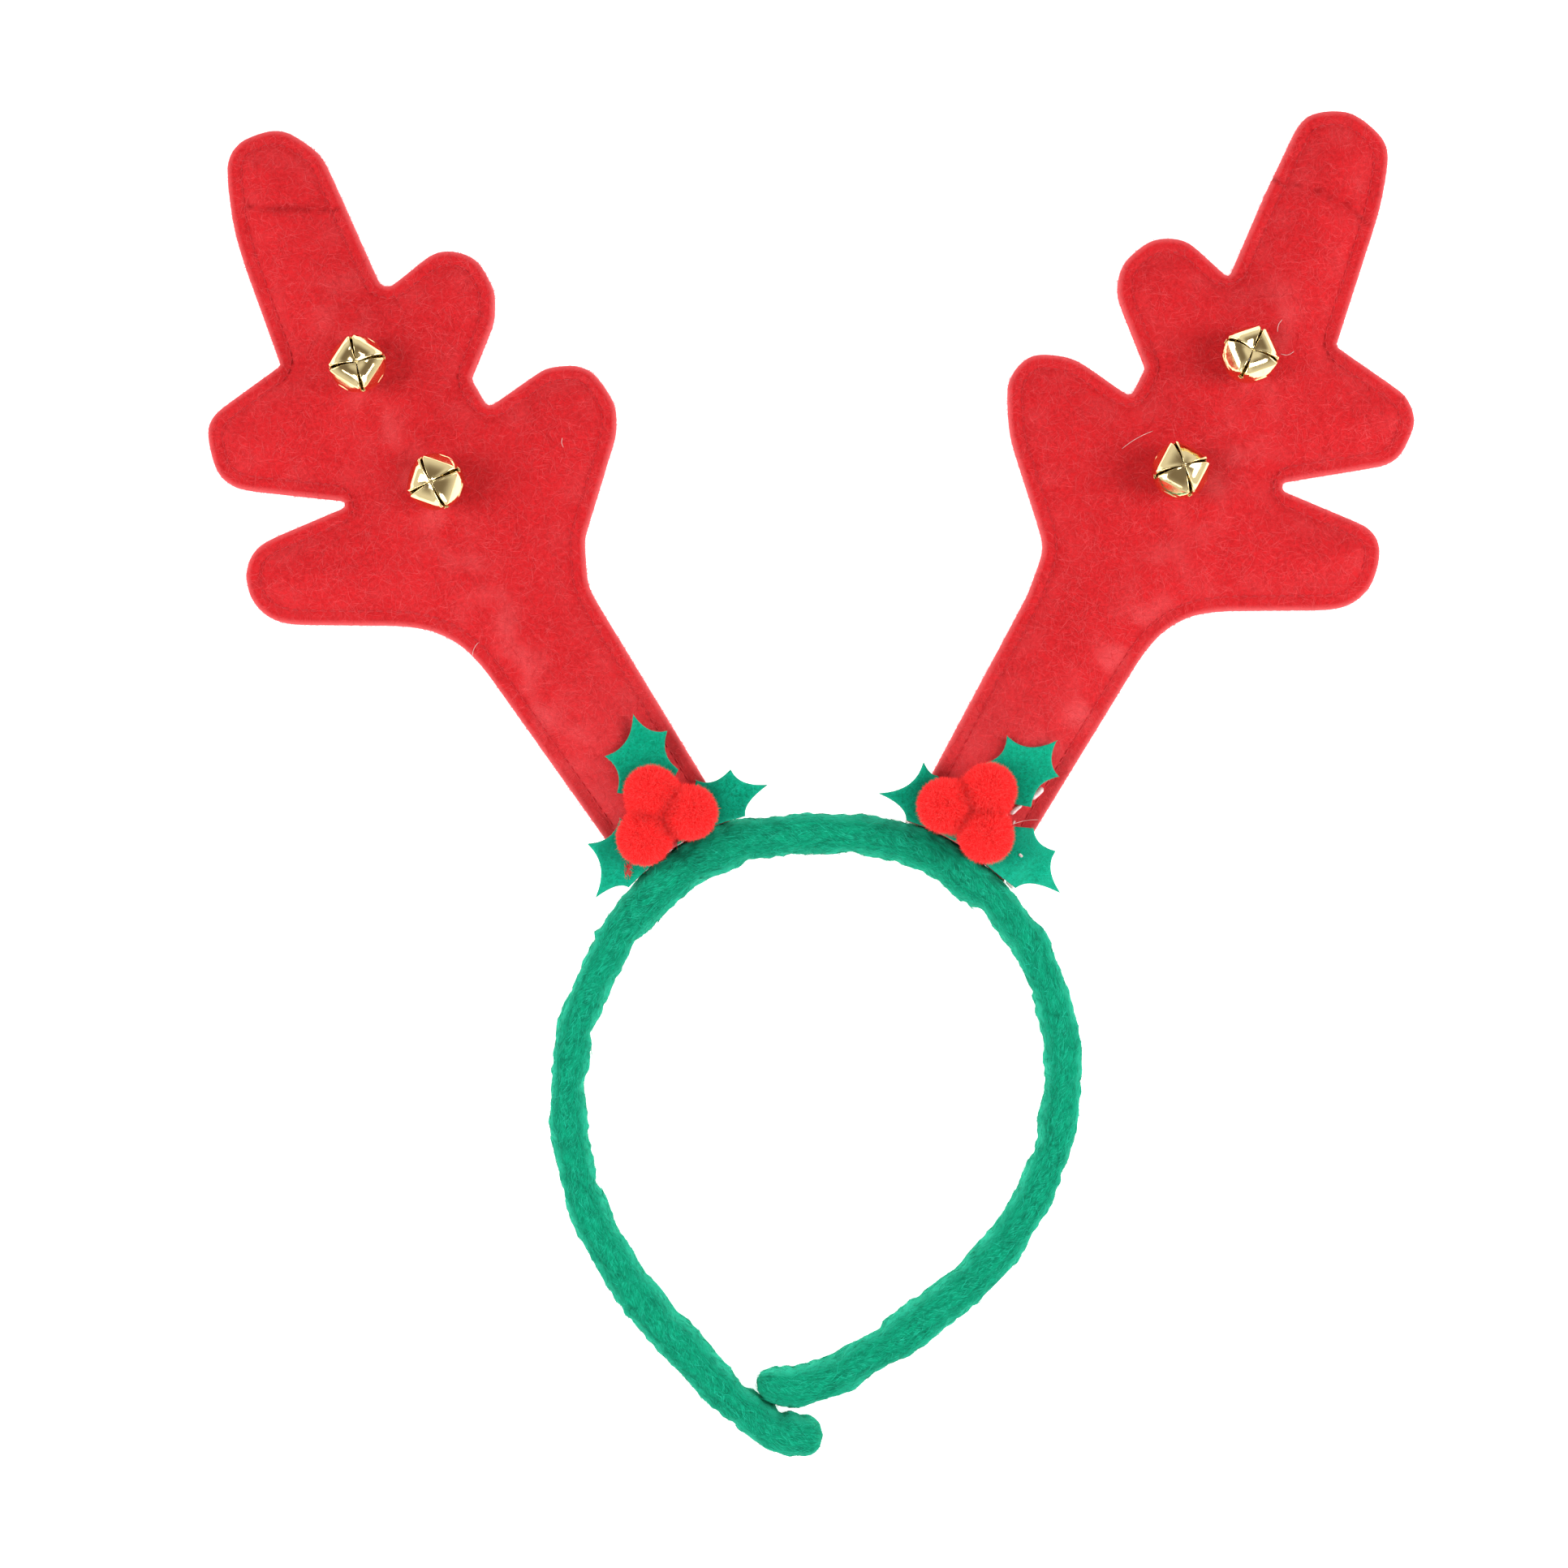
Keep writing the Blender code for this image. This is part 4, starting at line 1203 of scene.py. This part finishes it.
def slot_wool(piece, paints):
    """Wool of the band that covers the slot between it and the holly."""
    random = np.random.default_rng(61)
    places, normals = surface_spots(piece, SLOT_FIBRES, 62)
    roots = [placed(rows[0]) for rows in ANTLER_ROWS.values()]
    near = np.min([sizes_of(places[:, :2] - root) for root in roots], axis=0) < SLOT_REACH
    outward = unit(places[:, :2] - placed(BAND_MIDDLE))
    kept = near & ((normals[:, :2] * outward).sum(1) > 0.25) & (places[:, 2] > 7.5 * MM)
    places, normals = places[kept], normals[kept]
    count = len(places)
    ways = unit(normals + (0.0, 0.0, 0.5) + random.normal(0, 0.35, (count, 3)))
    strands(
        "slot_wool", places, ways, random.uniform(0.8, 2.0, count) * MM, np.full(count, 0.10 * MM), 0.3,
        paints["green_fibre"], 63,
    )


# Holly


def level_of(node):
    """The smooth surface through a node's upper face, as a function of x and y."""
    spots = np.array([vertex.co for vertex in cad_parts[node].data.vertices], float)
    flat = np.round(spots[:, :2], 6)
    tops = {}
    for (x, y), z in zip(flat, spots[:, 2]):
        tops[(x, y)] = max(z, tops.get((x, y), -1.0))
    places = np.array(list(tops))
    centre = places.mean(0)

    def terms(points):
        x, y = (points - centre).T / CM
        return np.column_stack([np.ones(len(x)), x, y, x * x, x * y, y * y])

    factors, *_ = np.linalg.lstsq(terms(places), np.array(list(tops.values())), rcond=None)
    return lambda points: terms(points) @ factors


def make_leaf(node, hub, seed, paints):
    """A holly leaf cut from green felt, faintly waved where no pompom presses it."""
    ring = np.vstack(fine_outline(node, LEAF_STEP, 1.0 * MM))
    level = level_of(node)

    def heights(points, inset):
        free = smoothstep(6.5 * MM, 13.0 * MM, sizes_of(points - hub))
        wave = LEAF_WAVE * free * (1 + ripple(points, 7.0 * MM, seed)) / 2
        over = level(points) + wave
        fine = 0.04 * MM * ripple(points, 1.8 * MM, seed + 1)
        return over - LEAF_FELT + rounded_drop(inset) * 0.5, over + fine - rounded_drop(inset) * 0.6

    piece, flat = felt_sheet(
        node.replace("holly_leaf", "leaf"), ring, LEAF_ROWS, LEAF_GRID, heights, paints["leaf"],
    )
    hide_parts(node)
    from_berry = np.maximum(0.0, sizes_of(flat - hub) - BERRY_RADIUS)
    # painted shadow of the pompom on the leaf round it
    paint_value(piece, "dark", 0.42 * np.exp(-(from_berry / (1.7 * MM)) ** 1.5))
    # painted light on the leaves that catch more light
    paint_value(piece, "wear_and_highlight", LEAF_LIGHT.get(node, 0.0) * (0.6 + 0.4 * ripple(flat, 9.0 * MM, seed)))
    random = np.random.default_rng(seed + 2)
    count = LEAF_FIBRES
    picked = random.integers(0, len(ring), count)
    outward = -inward_normals(ring)[picked]
    flat = ring[picked] - outward * 0.1 * MM
    roots = np.column_stack([flat, level(flat) - random.random(count) * LEAF_FELT])
    ways = unit(np.column_stack([outward + random.normal(0, 0.6, (count, 2)), random.normal(0, 0.5, count)]))
    fuzz = strands(
        f"{piece.name}_fuzz", roots, ways, random.uniform(0.2, 0.55, count) * MM,
        np.full(count, 0.05 * MM), 0.4, paints["green_fibre"], seed + 3,
    )


def pressed(places, centre, neighbours, floor, share=1.0):
    """Points of a ball kept on their own side of its neighbours and above its leaf."""
    places = places.copy()
    for other in neighbours:
        towards = other - centre
        distance = np.linalg.norm(towards)
        towards = towards / distance
        beyond = (places - centre) @ towards - (distance - GAP * share) / 2
        places -= towards * np.maximum(0.0, beyond)[:, None]
    places[:, 2] = np.maximum(places[:, 2], floor)
    return places


def along_seams(ways, places, centre, neighbours):
    """Fibres turned along the seams with the neighbours, and how near each root is to a seam."""
    nearest = np.zeros(len(places))
    for other in neighbours:
        distance = np.linalg.norm(other - centre)
        towards = (other - centre) / distance
        near = fading(distance / 2 - (places - centre) @ towards, SEAM_REACH)
        ways = ways - towards * (near * (ways @ towards))[:, None]
        nearest = np.maximum(nearest, near)
    return ways, nearest


def make_berry(name, centre, neighbours, floor, seed, paints):
    """A pompom: a pressed ball under a dense pile of short fibres."""
    random = np.random.default_rng(seed)
    mesh = bmesh.new()
    bmesh.ops.create_icosphere(mesh, subdivisions=5, radius=1.0)
    ball = np.array([vertex.co for vertex in mesh.verts])
    faces = [tuple(vertex.index for vertex in face.verts) for face in mesh.faces]
    mesh.free()
    core = BERRY_RADIUS - PILE
    bumps = 0.16 * MM * ripple(ball, 0.55, seed) + 0.08 * MM * ripple(ball, 0.2, seed + 1)
    vertices = pressed(centre + ball * (core + bumps)[:, None], centre, neighbours, floor)
    piece = add_piece(f"pompom_{name}", vertices, faces, paints["pile"])
    turn = np.arctan2(ball[:, 1], ball[:, 0])
    lay_map(piece, np.column_stack([turn, ball[:, 2]]) * core)
    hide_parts(f"berry_{name}")
    normals = unit(random.normal(size=(PILE_FIBRES, 3)))
    roots = pressed(centre + normals * (core - 0.1 * MM), centre, neighbours, floor)
    ways, near = along_seams(normals, roots, centre, neighbours)
    ways = unit(unit(ways) + random.normal(0, 0.42, (PILE_FIBRES, 3)))
    lengths = random.uniform(0.4, 1.5, PILE_FIBRES) * PILE * (1 + 0.9 * near)
    ends = pressed(roots + ways * lengths[:, None], centre, neighbours, floor - 0.1 * MM, -4.0)
    ways = ends - roots
    lengths = sizes_of(ways)
    grown = lengths > 0.12 * MM
    strands(
        f"pile_{name}", roots[grown], ways[grown] / lengths[grown, None], lengths[grown],
        np.full(grown.sum(), 0.10 * MM), 0.4, paints["pile_fibre"], seed + 2,
    )


def make_holly(side, antler, paints):
    """Three leaves and three pompoms on the foot of an antler."""
    centres, floors = {}, {}
    for name, x, y, rise in BERRY_ROWS:
        if name.startswith(side):
            floors[name] = antler.crest(placed((x, y))) + LEAF_TOP
            centres[name] = np.array([*placed((x, y)), floors[name] + rise * MM])
    for index, (name, centre) in enumerate(centres.items()):
        seed = 100 + 10 * index + (50 if side == "right" else 0)
        make_leaf(f"holly_leaf_{name}", centre[:2], seed, paints)
        others = [other for key, other in centres.items() if key != name]
        make_berry(name, centre, others, floors[name], seed + 5, paints)


# Bells


def bell_profile():
    """Smooth profile of a bell from its back to its petals: height, reach at a side and at a corner."""
    fine = smooth_rows(BELL_RINGS, 8)
    fine[:, 1:] = np.maximum(fine[:, 1:], 0.0)
    return fine


def bell_point(height, side, corner, from_side, azimuth):
    """A point of a bell in millimetres; its section is a square whose corners are cut to an arc."""
    edge, arc = side / math.cos(from_side), corner
    soft = BELL_SOFT * (corner - side) / max(corner, 0.1)
    lean = max(0.0, min(1.0, 0.5 + 0.5 * (arc - edge) / max(soft, 1e-6)))
    reach = arc * (1 - lean) + edge * lean - soft * lean * (1 - lean)
    return reach * math.cos(azimuth), reach * math.sin(azimuth), height


def make_bell(name, place, turn, tilt, heading, tip_height, material):
    """A bell: a dome, four petals with raised lips round tapering slots, and a wire shank."""
    profile = bell_profile()
    start, wide_side, wide_corner = profile[-1]
    closing = []
    for index in range(1, BELL_CLOSING + 1):
        share = index / BELL_CLOSING
        side = wide_side * (1 - share) ** 0.8 + 0.12 * share
        rise = (BELL_CROWN - start) * (1 - (side / wide_side) ** 2.8)
        fold = (BELL_CROWN - tip_height) * math.exp(-(side / BELL_FOLD) ** 2)
        closing.append((start + rise - fold, side, min(wide_corner, 1.37 * side)))
    rings = np.vstack([profile[1:], closing])
    first_slot = int(SLOT_START * len(profile))
    vertices = [(0.0, 0.0, BELL_BACK)]
    faces = []
    grids = []
    quarter = math.pi / 2
    for petal in range(4):
        grid = []
        for level, (height, side, corner) in enumerate(rings):
            row = []
            slot = 0.0
            if level >= first_slot:
                opened = smoothstep(first_slot, first_slot + 6, level)
                wide = SLOT_NARROW + (SLOT_WIDE - SLOT_NARROW) * (corner / 6.4) ** 1.8
                slot = math.asin(min(0.95, wide * max(float(opened), 0.12) / max(corner, 0.2)))
            for index in range(-1, PETAL_SIDES + 2):
                share = 0.5 - 0.5 * math.cos(math.pi * max(0, min(PETAL_SIDES, index)) / PETAL_SIDES)
                from_side = -quarter / 2 + slot + (quarter - 2 * slot) * share
                turned_in = index < 0 or index > PETAL_SIDES
                if turned_in:
                    from_side = math.copysign(quarter / 2 - LIP_GAP * slot, from_side)
                from_side = max(-quarter / 2 + 1e-4, min(quarter / 2 - 1e-4, from_side))
                azimuth = petal * quarter + quarter / 2 + from_side
                x, y, z = bell_point(height, side, corner, from_side, azimuth)
                if turned_in:
                    inward = 1 - LIP_DEPTH * min(1.0, 2.0 * slot) / max(6.0, corner)
                    x, y, z = x * inward, y * inward, z - LIP_DEPTH * min(1.0, 4.0 * slot)
                elif level > first_slot + 3:
                    from_axis = math.hypot(x, y)
                    lip = math.exp(-((quarter / 2 - slot - abs(from_side)) * from_axis / LIP_HALF) ** 2)
                    z += LIP_RISE * lip * min(1.0, from_axis / 2.0)
                row.append(len(vertices))
                vertices.append((x, y, z))
            grid.append(row)
        grids.append(grid)
    for petal, grid in enumerate(grids):
        for first, second in zip(grid[0], grid[0][1:]):
            faces.append((0, second, first))
        for lower, upper in zip(grid, grid[1:]):
            for one in range(PETAL_SIDES + 2):
                faces.append((lower[one], lower[one + 1], upper[one + 1], upper[one]))
    mesh = bpy.data.meshes.new(f"brass_{name}")
    mesh.from_pydata([tuple(value * MM for value in vertex) for vertex in vertices], [], faces)
    shaped = bmesh.new()
    shaped.from_mesh(mesh)
    bmesh.ops.remove_doubles(shaped, verts=shaped.verts, dist=0.004 * MM)
    bmesh.ops.recalc_face_normals(shaped, faces=shaped.faces)
    shaped.to_mesh(mesh)
    shaped.free()
    mesh.materials.append(material)
    mesh.shade_smooth()
    piece = add_object(f"brass_{name}", mesh)
    shell = piece.modifiers.new("shell", "SOLIDIFY")
    shell.thickness = BELL_SHELL
    shell.offset = -1
    heading = math.radians(heading)
    lean = Matrix.Rotation(math.radians(tilt), 3, (-math.sin(heading), math.cos(heading), 0))
    piece.location = place
    piece.rotation_euler = (lean @ Matrix.Rotation(math.radians(turn), 3, "Z")).to_euler()
    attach(piece, "root")
    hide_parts(f"bell_{name}")
    shank_line = []
    for index in range(SHANK_SIDES + 1):
        angle = 2 * math.pi * index / SHANK_SIDES
        height = SHANK_CENTRE + SHANK_RADIUS * math.sin(angle)
        shank_line.append((SHANK_RADIUS * math.cos(angle), 0.0, height))
    spots, sides = tube(shank_line, SHANK_WIRE, 8, taper=False)
    shank = add_piece(f"shank_{name}", spots, sides, material)
    shank.parent = None
    shank.matrix_world = Matrix.Translation(place) @ piece.rotation_euler.to_matrix().to_4x4()
    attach(shank, "root")


def sewing(name, place, foot, paints):
    """The thread that holds a bell: three turns through its shank into the felt."""
    parts = []
    for index in range(3):
        turn = math.radians(70 + 18 * index)
        line = []
        for share in np.linspace(0.0, math.pi, 11):
            reach = 1.1 * MM * math.cos(share)
            rise = -0.5 * MM + 1.5 * MM * math.sin(share)
            line.append((place[0] + reach * math.cos(turn), place[1] + reach * math.sin(turn), foot + rise))
        parts.append(tube(line, THREAD))
    vertices, faces = joined(parts)
    return add_piece(f"sewing_{name}", vertices, faces, paints["thread"])


def make_bells(antlers, paints):
    """The four bells, each over its dimple."""
    metal = brass()
    for name, x, y, turn, tilt, heading, tip_height in BELL_ROWS:
        antler = antlers[name.split("_")[0]]
        spot = placed((x, y))
        foot = antler.front_under(np.array([spot]))[0] + FELT
        place = Vector((*spot, foot + GAP + BELL_FOOT))
        make_bell(name, place, turn, tilt, heading, tip_height, metal)
        sewing(name, place, foot, paints)
    pea_metal = steel()
    for name, *_ in BELL_ROWS:
        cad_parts[f"bell_pea_{name}"].data.materials[0] = pea_metal


# Glue and hairs


def make_glue(antler):
    """Strings and blobs of glue at the right holly."""
    leaf_level = level_of("holly_leaf_right_3")
    parts = []
    for x0, y0, x1, y1, radius, under in GLUE_ROWS:
        start, end = np.array([x0, y0]) * MM, np.array([x1, y1]) * MM
        flat = start + (end - start) * np.linspace(0.0, 1.0, 9)[:, None]
        flat = flat + 0.12 * MM * np.column_stack([ripple(flat, 3 * MM, axis) for axis in (1, 2)])
        heights = leaf_level(flat) if under == "leaf" else antler.front_over(flat)
        parts.append(tube(np.column_stack([flat, heights + 0.5 * radius * MM]), radius * MM, 8))
    vertices, faces = joined(parts)
    add_piece("glue_strings", vertices, faces, glue())


def make_wisps(paints):
    """Red wool that a pompom left on the leaf beside it."""
    random = np.random.default_rng(71)
    level = level_of("holly_leaf_left_3")
    places, headings = [], []
    for x0, y0, x1, y1, wide, count in WISP_ROWS:
        start, end = np.array([x0, y0]) * MM, np.array([x1, y1]) * MM
        way = (end - start) / np.linalg.norm(end - start)
        shares = random.random((count, 1))
        across = random.normal(0, 0.35, (count, 1)) * wide * MM
        places.append(start + (end - start) * shares + np.array([-way[1], way[0]]) * across)
        headings.append(math.atan2(way[1], way[0]) + random.normal(0, 0.5, count))
    places, headings = np.vstack(places), np.concatenate(headings)
    lengths = random.uniform(0.6, 1.7, len(places)) * MM
    lying_fibres("red_wisps", places, lambda spots: level(spots) + 0.2 * MM * random.random(len(spots)),
                 headings, lengths, 0.10 * MM, 0.25, paints["red_fibre"], 72)


def make_hairs(antlers, paints):
    """Loose pale hairs caught on the felt."""
    parts = []
    for x, y, length, heading, bow in HAIR_ROWS:
        antler = antlers["left" if x < 0 else "right"]
        way = np.array([math.cos(math.radians(heading)), math.sin(math.radians(heading))])
        shares = np.linspace(-0.5, 0.5, 11)[:, None]
        flat = np.array([x, y]) * MM + way * shares * length * MM
        flat = flat + np.array([-way[1], way[0]]) * (bow * MM) * (1 - 4 * shares ** 2)
        heights = antler.front_over(flat) + 0.08 * MM
        parts.append(tube(np.column_stack([flat, heights]), 0.045 * MM, 5))
    vertices, faces = joined(parts)
    add_piece("loose_hairs", vertices, faces, paints["hair"])


def make_paints():
    """Every felt, thread and fibre."""
    return {
        "red": felt("red_felt", (0.48, 0.008, 0.012), (0.65, 0.015, 0.020), (0.76, 0.055, 0.062),
                    (0.84, 0.15, 0.16), 0.05, 0.40),
        "green": felt("green_felt", (0.0, 0.13, 0.068), (0.001, 0.31, 0.16), (0.010, 0.47, 0.275),
                      (0.035, 0.60, 0.385), 0.25, 1.0, comb=0.28),
        "leaf": felt("leaf_felt", (0.0, 0.17, 0.09), (0.0, 0.37, 0.205), (0.004, 0.49, 0.30),
                     (0.03, 0.56, 0.37), 0.05, 1.0, painted_rim_light=0.2),
        "pile": felt("berry_pile", (0.85, 0.015, 0.017), (1.0, 0.028, 0.030), (1.0, 0.05, 0.05),
                     (1.0, 0.10, 0.09), 0.12),
        "thread": fibre("red_thread", (0.54, 0.007, 0.014), (0.70, 0.012, 0.02)),
        "red_fibre": fibre("red_fibre", (0.52, 0.010, 0.014), (0.82, 0.09, 0.10), 0.05),
        "green_fibre": fibre("green_fibre", (0.0, 0.15, 0.08), (0.02, 0.58, 0.37), 0.05),
        # the pompom fibres' glow is painted light that lightens their shade
        "pile_fibre": fibre("pile_fibre", (0.95, 0.020, 0.024), (1.0, 0.095, 0.09), 0.08, 0.05),
        "hair": fibre("pale_hair", (0.85, 0.75, 0.72), (0.95, 0.88, 0.85)),
    }


def main():
    set_camera()
    set_light()
    add_floor()
    paints = make_paints()
    make_band(paints)
    antlers = {}
    for side in ANTLER_ROWS:
        antlers[side] = make_antler(side, paints)
        make_holly(side, antlers[side], paints)
    make_bells(antlers, paints)
    make_glue(antlers["right"])
    make_wisps(paints)
    make_hairs(antlers, paints)


main()
